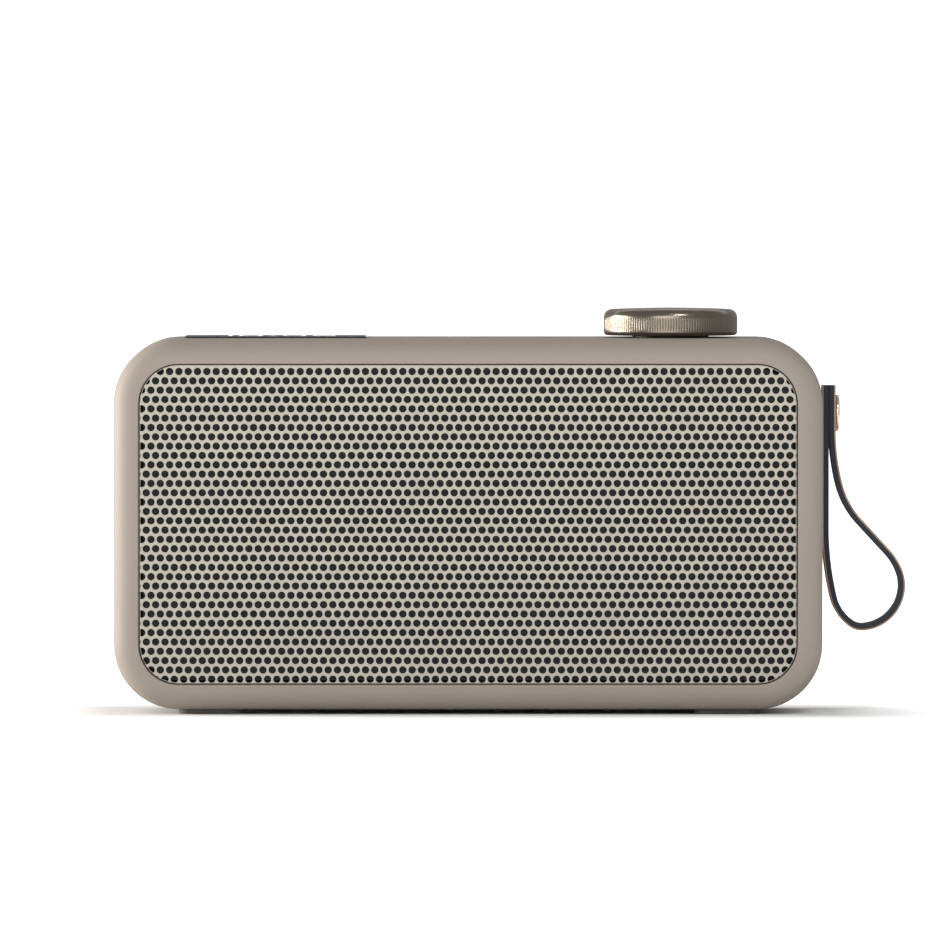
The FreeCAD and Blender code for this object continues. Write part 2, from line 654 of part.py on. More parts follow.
def knob():
    """The rotary control: encoder with its turning hub, sliding shaft, collar and metal knob."""
    at = ("knob_offset", 0, 0)
    low = f"({TOP} + knob_gap)"
    high = f"({low} + knob_height)"
    ceiling = f"({low} + knob_hollow)"
    hub_low, hub_high = f"({BOARD_TOP} + 1)", f"({BOARD_TOP} + 3)"
    bush, turning = "shaft_radius + 2.6", "shaft_radius + running_gap"
    case = block(("knob_offset - 7", "knob_offset + 7"), ("-7", "7"),
                 (BOARD_TOP, f"{CEILING} - 0.2"))
    neck = rod(bush, "wall", (at[0], 0, f"{CEILING} - 0.3"))
    chamber = rod(bush, "2.6", (at[0], 0, f"{BOARD_TOP} + 0.7"))
    bore = rod(turning, "wall + 6", (at[0], 0, f"{BOARD_TOP} + 2"))
    keep(cut(joined(case, neck), chamber, bore), "encoder_body")
    keep(turned([(turning, hub_low), (f"{bush} - 0.3", hub_low), (f"{bush} - 0.3", hub_high),
                 (turning, hub_high)], at), "encoder_hub")
    shaft_low = f"({BOARD_TOP} + 1.3)"
    keep(rod("shaft_radius", f"{high} - knob_hollow - {shaft_low}", (at[0], 0, shaft_low)),
         "encoder_shaft")
    keep(turned([(f"{bush} + 0.6", TOP), ("collar_radius", TOP),
                 ("collar_radius", f"{TOP} + collar_height"),
                 (f"{bush} + 0.6", f"{TOP} + collar_height")], at), "encoder_collar")
    arc = [(f"knob_radius - knob_edge * {1 - math.sin(a):.4f}",
            f"{high} - knob_crown - knob_edge * {1 - math.cos(a):.4f}")
           for a in (math.radians(step) for step in (90, 60, 30, 0))]
    cap = turned([("shaft_radius", ceiling), ("collar_radius + 0.6", ceiling),
                  ("collar_radius + 0.6", low), ("knob_radius - 1", low), ("knob_radius", f"{low} + 1"),
                  *arc, ("knob_radius / 2", f"{high} - knob_crown / 4"), ("0", high),
                  ("0", f"{high} - knob_hollow"), ("shaft_radius", f"{high} - knob_hollow")], at)
    keep(cap, "knob")


def usb_slab(grow, front, back):
    """The outline of the charging socket, drawn larger or smaller, between two depths."""
    x = "port_offset - port_pitch / 2"
    wide, tall = f"(usb_width / 2 + {grow})", f"(usb_height / 2 + {grow})"
    return slab((f"{x} - {wide}", f"{x} + {wide}"), (front, back),
                (f"port_level - {tall}", f"port_level + {tall}"), f"{tall} - 0.1")


def upper_board():
    """The board under the top wall."""
    left, right = "-display_left - 9", "knob_offset + 12"
    board = block((left, right), ("-14", "14"), (f"{BOARD_TOP} - board_thickness", BOARD_TOP))
    holes = [rod("small_screw + 0.05", "board_thickness + 2 * overrun",
                 (x, y, f"{BOARD_TOP} - board_thickness - 1")) for x, y in board_places()]
    keep(cut(board, *holes), "upper_board")


def main_board():
    """The upright board behind the speakers, with its tuner can, sockets and power switch."""
    face = f"({SEAM} - main_board_back)"
    back = f"({face} + board_thickness)"
    left, right = "-power_offset - 12", "port_offset + port_pitch + 4"
    low, high = "port_level - 5", f"{PILLAR_Z} + 12"
    keep(block((left, right), (face, back), (low, high)), "main_board")
    keep(block(("-10", "18"), (back, f"{back} + 4"), ("port_level + 8", "port_level + 34")), "tuner_can")
    usb_x, half_tongue = "port_offset - port_pitch / 2", "(usb_width * 3 / 8)"
    end = f"{BACK} - wall / 2"
    usb = usb_slab("0", back, end)
    mouth = usb_slab("-usb_wall", f"{end} - 6", BACK)
    tongue = block((f"{usb_x} - {half_tongue}", f"{usb_x} + {half_tongue}"),
                   (f"{end} - 6.2", f"{end} - 0.8"),
                   ("port_level - usb_height / 9", "port_level + usb_height / 9"))
    keep(joined(cut(usb, mouth), tongue), "usb_socket")
    jack_x = "port_offset + port_pitch / 2"
    jack = joined(block((f"{jack_x} - 3.5", f"{jack_x} + 3.5"), (back, f"{BACK} - wall - 0.2"),
                        ("port_level - 3", "port_level + 3")),
                  rod("jack_radius + jack_wall", "wall",
                      (jack_x, f"{BACK} - wall - 1.2", "port_level"), "y"))
    keep(cut(jack, rod("jack_radius", "12", (jack_x, f"{BACK} - wall / 2 - 9.5", "port_level"), "y")),
         "line_socket")
    switch_back = f"({BACK} - wall - 1.6 - key_travel)"
    keep(block(("-power_offset - 3", "3 - power_offset"), (back, switch_back),
               ("power_level - 3", "power_level + 3")), "power_switch")
    button = turned([("0", "-0.4"), ("1.8", "-0.4"), ("1.8", "0"), ("power_radius + 0.9", "0"),
                     ("power_radius + 0.9", "0.8"), ("power_radius", "0.8"),
                     ("power_radius", "wall + 1"), ("power_radius - 0.3", "wall + 1.3"),
                     ("0", "wall + 1.3")], ("-power_offset", f"{BACK} - wall - overrun", "power_level"), "y")
    keep(button, "power_button")


def battery():
    """Two round cells end to end in a cradle on the floor of the body."""
    y = f"({SEAM} - battery_back - 2)"
    cells = [rod("cell_radius", "cell_length", (x, y, "battery_level"), "x")
             for x in ("-cell_length - 0.5", "0.5")]
    keep(group(*cells), "battery_cells")
    cradle = block(("-cell_length - 3", "cell_length + 3"),
                   (f"{y} - cell_radius - 1.2", f"{y} + cell_radius + 1.2"),
                   (f"{BOTTOM} + wall", "battery_level + 2"))
    trough = rod("cell_radius + 0.1", "2 * cell_length + 1.4",
                 ("-cell_length - 0.7", y, "battery_level"), "x")
    keep(cut(cradle, trough), "battery_cradle")


def aerial():
    """The telescopic aerial: swivelling foot, elbow pin, knuckle and four sections."""
    foot_at = ("aerial_offset", AERIAL_Y, SHELF)
    foot = turned([("0", "0.3 - aerial_foot"), ("aerial_radius", "0.3 - aerial_foot"),
                   ("aerial_radius", "0.2"), ("aerial_radius + 0.6", "0.2"),
                   ("aerial_radius + 0.6", "2 * aerial_drop - 0.7"),
                   ("0", "2 * aerial_drop - 0.7")], foot_at)
    fork_gap = block(("aerial_offset - 5", "aerial_offset + 5"),
                     (f"{AERIAL_Y} - 1.5", f"{AERIAL_Y} + 1.5"),
                     (f"{AERIAL_Z} - aerial_radius - 0.2", f"{TOP} + overrun"))
    pin_hole = rod("pin_radius", "9", ("aerial_offset", f"{AERIAL_Y} - 4.5", AERIAL_Z), "y")
    keep(cut(foot, fork_gap, pin_hole), "aerial_foot")
    keep(rod("pin_radius", "6.8", ("aerial_offset", f"{AERIAL_Y} - 3.4", AERIAL_Z), "y"), "aerial_pin")
    start = "(aerial_offset - aerial_knuckle)"
    knuckle = joined(rod("aerial_radius - 0.3", "2.7",
                         ("aerial_offset", f"{AERIAL_Y} - 1.35", AERIAL_Z), "y"),
                     block((start, "aerial_offset"), (f"{AERIAL_Y} - 1.35", f"{AERIAL_Y} + 1.35"),
                           (f"{AERIAL_Z} - 2", f"{AERIAL_Z} + 2")),
                     rod("aerial_radius - aerial_wall", "5", (f"{start} - 5", AERIAL_Y, AERIAL_Z), "x"))
    keep(cut(knuckle, rod("pin_radius + running_gap", "9",
                          ("aerial_offset", f"{AERIAL_Y} - 4.5", AERIAL_Z), "y")), "aerial_knuckle")
    for number in range(1, 5):
        outer = f"(aerial_radius - {number - 1} * aerial_step)"
        left = f"({start} - aerial_length - {number - 1} * 1.5)"
        at = (left, AERIAL_Y, AERIAL_Z)
        right = f"({start} - {0 if number == 1 else 5.5 + number * 0.5})"
        length = f"{right} - {left}"
        tube = rod(outer, length, at, "x")
        if number < 4:
            bore = rod(f"{outer} - aerial_wall", f"{length} + 2", (f"{left} - 1", AERIAL_Y, AERIAL_Z), "x")
            tube = cut(tube, bore)
        else:
            tip = rod("aerial_radius - 0.2", "5", (f"{left} - 5", AERIAL_Y, AERIAL_Z), "x")
            tube = joined(tube, tip)
        keep(tube, f"aerial_section_{number}")


def strap_path():
    """The strap's middle line as (kind, size, turn), from its free end down, round and up again."""
    turns = {name: math.radians(value(f"strap_{name}"))
             for name in ("lean", "sweep", "toe", "shoulder", "return", "rise")}
    radius = {name: value(f"strap_{name}_radius") for name in (*turns, "bowl")}
    back, rise = turns.pop("return"), turns.pop("rise")
    turns["bowl"] = math.pi + back + rise - sum(turns.values())
    bends = [(radius[name], turns[name]) for name in ("lean", "sweep", "toe", "bowl", "shoulder")]
    heading, across = -math.pi / 2, 0.0
    for size, angle in bends:
        across += size * (math.sin(heading + angle) - math.sin(heading))
        heading += angle
    swing = radius["return"] * (math.cos(rise) - math.cos(back + rise))
    swing += radius["rise"] * (1 - math.cos(rise))
    run = (across - value("strap_thickness") - swing) / math.sin(back + rise)
    return [("line", value("strap_tail + strap_leg"), 0),
            *[("arc", size, angle) for size, angle in bends],
            ("line", run, 0), ("arc", radius["return"], -back), ("arc", radius["rise"], -rise)]


def strap_side(shift):
    """The strap's edge curves at a distance to the left of its middle line."""
    x = value(f"{SIDE} + strap_gap + strap_thickness / 2")
    z = value(f"{STRAP_Z} + strap_tail")
    top = z
    heading = -math.pi / 2
    edges = []

    def offset(px, pz, angle):
        return FreeCAD.Vector(px - math.sin(angle) * shift, 0, pz + math.cos(angle) * shift)

    for kind, size, angle in strap_path():
        start = offset(x, z, heading)
        if kind == "line":
            x += size * math.cos(heading)
            z += size * math.sin(heading)
            edges.append(Part.makeLine(start, offset(x, z, heading)))
            continue
        side = 1 if angle > 0 else -1
        cx = x - math.sin(heading) * size * side
        cz = z + math.cos(heading) * size * side
        places = []
        for part in (0.5, 1):
            at = heading + angle * part
            places.append((cx + math.sin(at) * size * side, cz - math.cos(at) * size * side, at))
        middle, (x, z, heading) = offset(*places[0]), places[1]
        edges.append(Part.Arc(start, middle, offset(x, z, heading)).toShape())
    edges.append(Part.makeLine(offset(x, z, heading), offset(x, top, heading)))
    return edges


def strap():
    """A leather strip folded into a loop, its two ends laid together under the stud."""
    half = value("strap_thickness / 2")
    width = value("strap_width")
    outside = strap_side(-half)
    inside = strap_side(half)
    closing = Part.makeLine(outside[-1].lastVertex().Point, outside[0].firstVertex().Point)
    skin = Part.Face(Part.Wire(outside + [closing]))
    crotch = inside[-1].firstVertex().Point
    hole_edges = [Part.makeLine(FreeCAD.Vector(crotch), inside[0].lastVertex().Point)] + inside[1:-1]
    hole = Part.Face(Part.Wire(hole_edges))
    seam = value("strap_seam")
    filler = Part.makeBox(4 * half, 2, seam)
    filler.translate(FreeCAD.Vector(crotch.x - 2 * half, -1, crotch.z - seam))
    band = skin.cut(hole.cut(filler)).extrude(FreeCAD.Vector(0, width, 0))
    band.translate(FreeCAD.Vector(0, -width / 2, 0))
    start = FreeCAD.Vector(value(f"{SIDE} - overrun"), 0, value(STRAP_Z))
    reach = value("strap_gap + 2 * strap_thickness + 3 * overrun")
    hub = Part.makeCylinder(value("post_radius + 0.2"), reach, start, FreeCAD.Vector(1, 0, 0))
    piece = doc.addObject("Part::Feature", "strap")
    piece.Shape = band.cut(hub).Solids[0]
    return keep(piece, "strap")


def stud():
    """The metal stud that the strap hangs from, screwed through the side wall into a nut."""
    out = "(strap_gap + 2 * strap_thickness + 0.1)"
    inner = "-wall - 2.5"
    keep(turned([("0", inner), ("post_radius", inner), ("post_radius", out), ("stud_radius", out),
                 ("stud_radius", f"{out} + stud_height - stud_round"),
                 ("stud_radius - stud_round", f"{out} + stud_height"),
                 ("0", f"{out} + stud_height")], (SIDE, 0, STRAP_Z), "x"), "strap_stud")
    nut_low, nut_high = f"{inner} + 0.1", "-wall - 0.2"
    keep(turned([("post_radius", nut_low), ("post_radius + 1.8", nut_low),
                 ("post_radius + 1.8", nut_high), ("post_radius", nut_high)],
                (SIDE, 0, STRAP_Z), "x"), "strap_nut")


def feet():
    """Four rubber feet, each in a shallow seat under the sleeve."""
    for label, place in FEET.items():
        keep(softened(foot_slab(place, "0", f"{BOTTOM} + foot_seat", "-0.1"), "Z", "0", "0.5"), label)


front_housing()
rear_cover()
front_grille()
grille_cloth()
baffle()
for side, sign in (("left", -1), ("right", 1)):
    driver(side, sign)
radiator()
screws()
display()
keys()
knob()
upper_board()
main_board()
battery()
aerial()
strap()
stud()
feet()
doc.recompute()

faults = [thing.Label for thing in doc.Objects if {"Invalid", "Error"} & set(thing.State)]
faults += [node.Label for node in NODES if node.Shape.isNull() or not node.Shape.isValid()]
if faults:
    raise RuntimeError("not built: " + ", ".join(faults))
os.makedirs("parts", exist_ok=True)
for node in NODES:
    node.Shape.exportStep(f"parts/{node.Label}.step")
print(f"{len(NODES)} sub-parts written")
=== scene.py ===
"""The visible surfaces of a portable radio with a perforated front and a leather wrist strap.

Lengths are in metres. +X is to the right seen from the front, +Y to the back and +Z up."""

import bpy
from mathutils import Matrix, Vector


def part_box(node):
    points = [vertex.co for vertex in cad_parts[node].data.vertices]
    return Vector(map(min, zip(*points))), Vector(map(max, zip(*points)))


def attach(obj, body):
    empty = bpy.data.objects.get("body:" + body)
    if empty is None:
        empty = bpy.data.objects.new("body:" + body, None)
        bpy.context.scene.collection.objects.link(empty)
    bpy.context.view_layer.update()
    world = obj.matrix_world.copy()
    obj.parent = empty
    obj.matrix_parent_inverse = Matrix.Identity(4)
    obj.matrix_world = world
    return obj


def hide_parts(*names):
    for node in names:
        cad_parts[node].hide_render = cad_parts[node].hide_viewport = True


bl_info = {
    "name": "Portable radio",
    "version": (1, 0, 0),
    "blender": (4, 5, 0),
    "location": "View3D > Sidebar > Radio",
    "description": "Makes the grille, knob, strap, keys and finishes of a portable radio",
    "category": "Add Mesh",
}

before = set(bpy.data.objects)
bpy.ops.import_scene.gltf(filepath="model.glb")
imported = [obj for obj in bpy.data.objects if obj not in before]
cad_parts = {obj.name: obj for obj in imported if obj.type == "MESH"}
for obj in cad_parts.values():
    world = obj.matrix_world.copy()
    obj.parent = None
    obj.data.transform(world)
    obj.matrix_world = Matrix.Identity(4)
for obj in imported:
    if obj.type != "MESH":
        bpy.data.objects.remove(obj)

import math

import bmesh
import bpy
import numpy as np
from bpy.props import FloatProperty, FloatVectorProperty, IntProperty, PointerProperty
from mathutils import Vector
from mathutils.geometry import delaunay_2d_cdt

MM = 0.001


def low(node):
    """The lowest corner of a CAD node's box."""
    return np.array(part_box(node)[0], float)


def high(node):
    """The highest corner of a CAD node's box."""
    return np.array(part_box(node)[1], float)


def middle(node):
    """The centre of a CAD node's box."""
    return (low(node) + high(node)) / 2


# ---------------------------------------------------------------- surfaces

def add_mesh(name, points, faces, smooth=True):
    """A mesh object from an array of points and lists of faces, with equal points merged."""
    mesh = bpy.data.meshes.new(name)
    mesh.from_pydata(np.asarray(points, float).reshape(-1, 3).tolist(), [], faces)
    work = bmesh.new()
    work.from_mesh(mesh)
    bmesh.ops.remove_doubles(work, verts=work.verts, dist=2e-7)
    bmesh.ops.dissolve_degenerate(work, edges=work.edges, dist=1e-8)
    work.to_mesh(mesh)
    work.free()
    mesh.polygons.foreach_set("use_smooth", [smooth] * len(mesh.polygons))
    thing = bpy.data.objects.new(name, mesh)
    bpy.context.scene.collection.objects.link(thing)
    return thing


def grid_faces(rows, columns, around=False, start=0):
    """Quads between neighbouring rows of a grid; around closes each row on itself."""
    i, j = np.meshgrid(np.arange(rows - 1), np.arange(columns if around else columns - 1), indexing="ij")
    right = (j + 1) % columns
    quads = np.stack([i * columns + j, i * columns + right, (i + 1) * columns + right,
                      (i + 1) * columns + j], axis=-1)
    return (quads.reshape(-1, 4) + start).tolist()


def outward(thing):
    """Turns every face of a closed mesh to the outside."""
    work = bmesh.new()
    work.from_mesh(thing.data)
    bmesh.ops.recalc_face_normals(work, faces=work.faces)
    work.to_mesh(thing.data)
    work.free()
    return thing


def sharpen(thing, degrees=35):
    """Keeps edges crisp where two faces meet at more than an angle."""
    thing.data.set_sharp_from_angle(angle=math.radians(degrees))
    return thing


def arc(centre, radius, begin, end, steps):
    """Points of a circle's arc, with angles in degrees."""
    angle = np.radians(np.linspace(begin, end, steps))
    return np.stack([centre[0] + radius * np.cos(angle), centre[1] + radius * np.sin(angle)], axis=-1)


def lathe(name, profile, centre, axis="z", segments=96, ripple=None):
    """A profile of (radius, height) carried round an axis: x = r cos t, y = r sin t, z = h.

    ripple(r, h, t) may change the radius from place to place."""
    profile = np.asarray(profile, float)
    turn = np.linspace(0, 2 * np.pi, segments, endpoint=False)
    radius = np.repeat(profile[:, :1], segments, axis=1)
    height = np.repeat(profile[:, 1:], segments, axis=1)
    angle = np.repeat(turn[None, :], len(profile), axis=0)
    if ripple:
        radius = ripple(radius, height, angle)
    across, up = radius * np.cos(angle), radius * np.sin(angle)
    order = {"z": (across, up, height), "y": (up, height, across), "x": (height, across, up)}[axis]
    points = np.stack(order, axis=-1) + np.asarray(centre, float)
    return outward(add_mesh(name, points, grid_faces(len(profile), segments, around=True)))


def rounded_rectangle(width, height, radius, steps=14):
    """Points of a rectangle with round corners, anticlockwise from the lower right corner."""
    centres = [(1, -1), (1, 1), (-1, 1), (-1, -1)]
    parts = [arc((sx * (width / 2 - radius), sz * (height / 2 - radius)), radius,
                 -90 + 90 * index, 90 * index, steps) for index, (sx, sz) in enumerate(centres)]
    return np.concatenate(parts)


def settle(thing, body, material, slot, *nodes):
    """Gives a piece its finish and its body, and hides the CAD nodes it stands for."""
    thing.data.materials.append(material)
    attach(thing, body)
    if nodes:
        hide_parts(*nodes)
    return thing


# ---------------------------------------------------------------- materials

class Finish:
    """A material under construction: one shader and the nodes that feed it."""

    def __init__(self, name, **shader):
        self.material = bpy.data.materials.new(name)
        self.material.use_nodes = True
        self.tree = self.material.node_tree
        self.tree.nodes.clear()
        output = self.tree.nodes.new("ShaderNodeOutputMaterial")
        self.shader = self.node("BsdfPrincipled", **shader)
        self.tree.links.new(self.shader.outputs[0], output.inputs["Surface"])
        self.place = self.node("TexCoord").outputs["Object"]

    def node(self, kind, settings=None, **inputs):
        """A node with some settings and with inputs given as values or as other nodes' outputs."""
        made = self.tree.nodes.new("ShaderNode" + kind)
        for key, setting in (settings or {}).items():
            setattr(made, key, setting)
        for key, given in inputs.items():
            socket = made.inputs[int(key[1:])] if key[1:].isdigit() else made.inputs[key.replace("_", " ")]
            self.feed(socket, given)
        return made

    def feed(self, socket, given):
        """Links an output to a socket, or sets the socket's value."""
        if isinstance(given, bpy.types.NodeSocket):
            self.tree.links.new(given, socket)
        elif isinstance(given, (tuple, list)) and len(given) == 3 and socket.type == "RGBA":
            socket.default_value = (*given, 1)
        else:
            socket.default_value = given

    def noise(self, size, detail=3, place=None, stretch=None):
        """Noise whose features are about a length across, perhaps stretched along an axis."""
        place = place or self.place
        if stretch:
            place = self.node("Mapping", Vector=place, Scale=stretch).outputs[0]
        return self.node("TexNoise", Vector=place, Scale=1 / size, Detail=detail).outputs[0]

    def ramp(self, factor, low_value, high_value, start=0.3, stop=0.7):
        """A factor mapped to a range of values."""
        return self.node("MapRange", i0=factor, i1=start, i2=stop, i3=low_value, i4=high_value).outputs[0]

    def mix(self, factor, first, second):
        """Two colours mixed by a factor."""
        return self.node("Mix", {"data_type": "RGBA"}, i0=factor, i6=first, i7=second).outputs[2]

    def maths(self, operation, first, second=0.0):
        """A sum or other operation on two numbers."""
        return self.node("Math", {"operation": operation}, i0=first, i1=second).outputs[0]

    def bump(self, height, depth, strength=1.0, under=None):
        """A bump of a depth in metres, laid over another bump if one is given."""
        made = self.node("Bump", Height=height, Distance=depth, Strength=strength)
        if under:
            self.feed(made.inputs["Normal"], under)
        return made.outputs[0]

    def surface(self, colour=None, roughness=None, normal=None):
        """Feeds the shader and returns the material."""
        if colour is not None:
            self.feed(self.shader.inputs["Base Color"], colour)
        if roughness is not None:
            self.feed(self.shader.inputs["Roughness"], roughness)
        if normal is not None:
            self.feed(self.shader.inputs["Normal"], normal)
        return self.material


def tone(colour, share):
    """A colour made lighter or darker by a share."""
    return tuple(min(1.0, channel * share) for channel in colour)


def moulded(name, colour, roughness=0.5, grain=0.25 * MM, depth=0.02 * MM, patch=12 * MM, **shader):
    """Moulded or painted surface: a fine spark-eroded grain over faint wide shading."""
    finish = Finish(name, **shader)
    wide = finish.noise(patch, 4)
    fine = finish.noise(grain, 2)
    colours = finish.mix(finish.ramp(wide, 0, 1), tone(colour, 0.965), tone(colour, 1.03))
    rough = finish.ramp(wide, roughness - 0.04, roughness + 0.05)
    return finish.surface(colours, rough, finish.bump(fine, depth, 0.6))


def soft_touch(name, colour):
    """Rubbery soft-touch paint: velvety, very fine grain, slightly polished where hands rub."""
    finish = Finish(name, Specular_IOR_Level=0.14)
    wide = finish.noise(35 * MM, 5)
    small = finish.noise(1.6 * MM, 3)
    fine = finish.noise(0.16 * MM, 2)
    speck = finish.mix(finish.ramp(small, 0, 1, 0.35, 0.65), tone(colour, 0.985), tone(colour, 1.015))
    shade = finish.mix(finish.ramp(wide, 0, 1), tone(colour, 0.975), tone(colour, 1.02))
    colours = finish.mix(0.5, speck, shade)
    rough = finish.ramp(wide, 0.5, 0.6)
    under = finish.bump(small, 0.02 * MM, 0.25)
    return finish.surface(colours, rough, finish.bump(fine, 0.012 * MM, 0.5, under))


def metal(name, colour, roughness=0.3, grain=0.4 * MM, stretch=None, metallic=1.0, **shader):
    """Metal with fine marks, drawn out along one axis where it was brushed or drawn."""
    finish = Finish(name, Metallic=metallic, **shader)
    marks = finish.noise(grain, 4, stretch=stretch)
    wide = finish.noise(9 * MM, 3)
    colours = finish.mix(finish.ramp(wide, 0, 1), tone(colour, 0.95), tone(colour, 1.04))
    rough = finish.ramp(marks, roughness - 0.06, roughness + 0.08)
    return finish.surface(colours, rough, finish.bump(marks, 0.008 * MM, 0.5))


def turned_metal(name, colour, centre, roughness=0.22):
    """Lathe-turned metal: fine rings round an upright axis, from noise on the distance to it."""
    finish = Finish(name, Metallic=1.0)
    shifted = finish.node("Mapping", Vector=finish.place, Location=tuple(-c for c in centre)).outputs[0]
    parts = finish.node("SeparateXYZ", Vector=shifted)
    x, y = parts.outputs[:2]
    reach = finish.maths("SQRT", finish.maths("ADD", finish.maths("MULTIPLY", x, x),
                                              finish.maths("MULTIPLY", y, y)))
    ring = finish.node("TexNoise", {"noise_dimensions": "1D"}, Scale=1 / (0.12 * MM), Detail=2,
                       W=reach).outputs[0]
    wide = finish.noise(7 * MM, 3)
    colours = finish.mix(finish.ramp(wide, 0, 1), tone(colour, 0.95), tone(colour, 1.05))
    rough = finish.ramp(ring, roughness - 0.05, roughness + 0.09)
    return finish.surface(colours, rough, finish.bump(ring, 0.006 * MM, 0.5))


def leather(name, skin, core):
    """Smooth leather: tan skin with pores and creases, black core and painted edges.

    The attribute depth is the place through the thickness, from 0 inside the loop to 1 outside."""
    finish = Finish(name, Specular_IOR_Level=0.25)
    depth = finish.node("Attribute", {"attribute_name": "depth"}).outputs["Fac"]
    edge = finish.ramp(depth, 0, 1, 0.775, 0.79)
    cells = finish.node("TexVoronoi", {"feature": "DISTANCE_TO_EDGE"}, Vector=finish.place,
                        Scale=1 / (0.7 * MM)).outputs[0]
    pores = finish.ramp(cells, 0, 1, 0.0, 0.16)
    cloud = finish.noise(6 * MM, 5)
    fine = finish.noise(0.35 * MM, 3)
    tan = finish.mix(finish.ramp(cloud, 0, 1), tone(skin, 0.82), tone(skin, 1.12))
    tan = finish.mix(finish.ramp(pores, 0.35, 0), tan, tone(skin, 0.55))
    dark = finish.mix(finish.ramp(fine, 0, 1), tone(core, 0.75), tone(core, 1.3))
    rough = finish.ramp(fine, 0.42, 0.62)
    under = finish.bump(pores, 0.05 * MM, 0.6)
    return finish.surface(finish.mix(edge, dark, tan), rough, finish.bump(fine, 0.03 * MM, 0.5, under))


def woven(name, colour, pitch=0.45 * MM):
    """Plain weave: threads along X and Z that pass over and under each other."""
    finish = Finish(name, Sheen_Weight=0.2)
    wave = {"wave_type": "BANDS"}
    warp = finish.node("TexWave", {**wave, "bands_direction": "X"}, Vector=finish.place,
                       Scale=0.31831 / pitch).outputs[1]
    weft = finish.node("TexWave", {**wave, "bands_direction": "Z"}, Vector=finish.place,
                       Scale=0.31831 / pitch).outputs[1]
    threads = finish.maths("MULTIPLY", warp, weft)
    colours = finish.mix(threads, tone(colour, 0.4), tone(colour, 1.5))
    return finish.surface(colours, finish.ramp(threads, 0.95, 0.75, 0, 1), finish.bump(threads, 0.1 * MM))


def wound(name, colour, pitch=0.3 * MM, direction="Y"):
    """Enamelled wire laid turn beside turn."""
    finish = Finish(name, Metallic=0.9)
    turns = finish.node("TexWave", {"wave_type": "BANDS", "bands_direction": direction},
                        Vector=finish.place, Scale=0.31831 / pitch).outputs[1]
    colours = finish.mix(turns, tone(colour, 0.5), colour)
    return finish.surface(colours, finish.ramp(turns, 0.45, 0.25, 0, 1), finish.bump(turns, 0.1 * MM))


def solder_mask(name, colour):
    """Circuit board: green mask with lighter tracks and small bright pads."""
    finish = Finish(name, Coat_Weight=0.5)
    tracks = finish.node("TexBrick", Vector=finish.place, Scale=1 / (9 * MM), i1=tone(colour, 1.0),
                         i2=tone(colour, 1.15), i3=tone(colour, 1.9)).outputs[0]
    pads = finish.node("TexVoronoi", Vector=finish.place, Scale=1 / (2.6 * MM)).outputs[0]
    spots = finish.ramp(pads, 1, 0, 0.13, 0.16)
    colours = finish.mix(spots, tracks, (0.62, 0.6, 0.52))
    return finish.surface(colours, finish.ramp(pads, 0.3, 0.42, 0, 1), finish.bump(spots, 0.05 * MM))


def polished_glass(name, colour):
    """Black glass with an anti-glare face and a trace of smears."""
    finish = Finish(name, Specular_IOR_Level=0.2)
    smear = finish.noise(14 * MM, 4, stretch=(1, 3, 1))
    colours = finish.mix(finish.ramp(smear, 0, 1), colour, tone(colour, 1.3))
    return finish.surface(colours, finish.ramp(smear, 0.22, 0.3))


def lit(name, colour, strength):
    """A glowing display segment."""
    finish = Finish(name, Emission_Strength=strength, Emission_Color=colour, Roughness=0.4)
    fleck = finish.noise(0.5 * MM, 2)
    return finish.surface(finish.mix(finish.ramp(fleck, 0, 1), tone(colour, 0.9), colour))


# ---------------------------------------------------------------- settings

def colour_property(name, description, default):
    """A colour that a user can change."""
    return FloatVectorProperty(name=name, description=description, subtype="COLOR", size=3,
                               default=default, min=0, max=1)


def length_property(name, description, default):
    """A length that a user can change."""
    return FloatProperty(name=name, description=description, unit="LENGTH", default=default, min=0,
                         precision=5)


class ShellSettings(bpy.types.PropertyGroup):
    """Colours of the body."""
    paint: colour_property("Paint", "Soft-touch paint of the shell and keys", (0.285, 0.248, 0.215))
    rubber: colour_property("Rubber", "Rubber of the feet", (0.13, 0.12, 0.11))


class GrilleSettings(bpy.types.PropertyGroup):
    """Sizes and colour of the perforated front."""
    pitch: length_property("Pitch", "Distance between holes in a row and between rows", 2.634 * MM)
    hole: length_property("Hole radius", "Radius of one hole", 1.065 * MM)
    sheet: length_property("Sheet", "Thickness of the metal", 1.0 * MM)
    roll: length_property("Edge roll", "Radius of the rolled front edge", 0.12 * MM)
    corner: length_property("Corner", "Radius of the sheet's corners", 11.0 * MM)
    drop: length_property("Drop", "How far the rows of holes lie below the middle", 0.3 * MM)
    sides: IntProperty(name="Sides", description="Sides of one hole", default=16, min=8, max=32)
    metal: colour_property("Metal", "Satin finish of the sheet", (0.325, 0.302, 0.262))


class KnobSettings(bpy.types.PropertyGroup):
    """Sizes and colour of the turning knob."""
    grooves: IntProperty(name="Grooves", description="Grooves round the rim", default=150, min=20)
    groove: length_property("Groove depth", "Depth of one groove", 0.07 * MM)
    edge: length_property("Top edge", "Radius of the top edge", 2.4 * MM)
    metal: colour_property("Metal", "Anodised metal of the knob and stud", (0.2, 0.173, 0.141))


class StrapSettings(bpy.types.PropertyGroup):
    """Sizes and colours of the wrist strap."""
    thickness: length_property("Thickness", "Thickness of the leather", 1.9 * MM)
    leg: length_property("Leg", "Straight length from the upper end", 40.2 * MM)
    skin: colour_property("Skin", "Tan outer face", (0.36, 0.23, 0.165))
    core: colour_property("Core", "Black core and edges", (0.014, 0.018, 0.026))


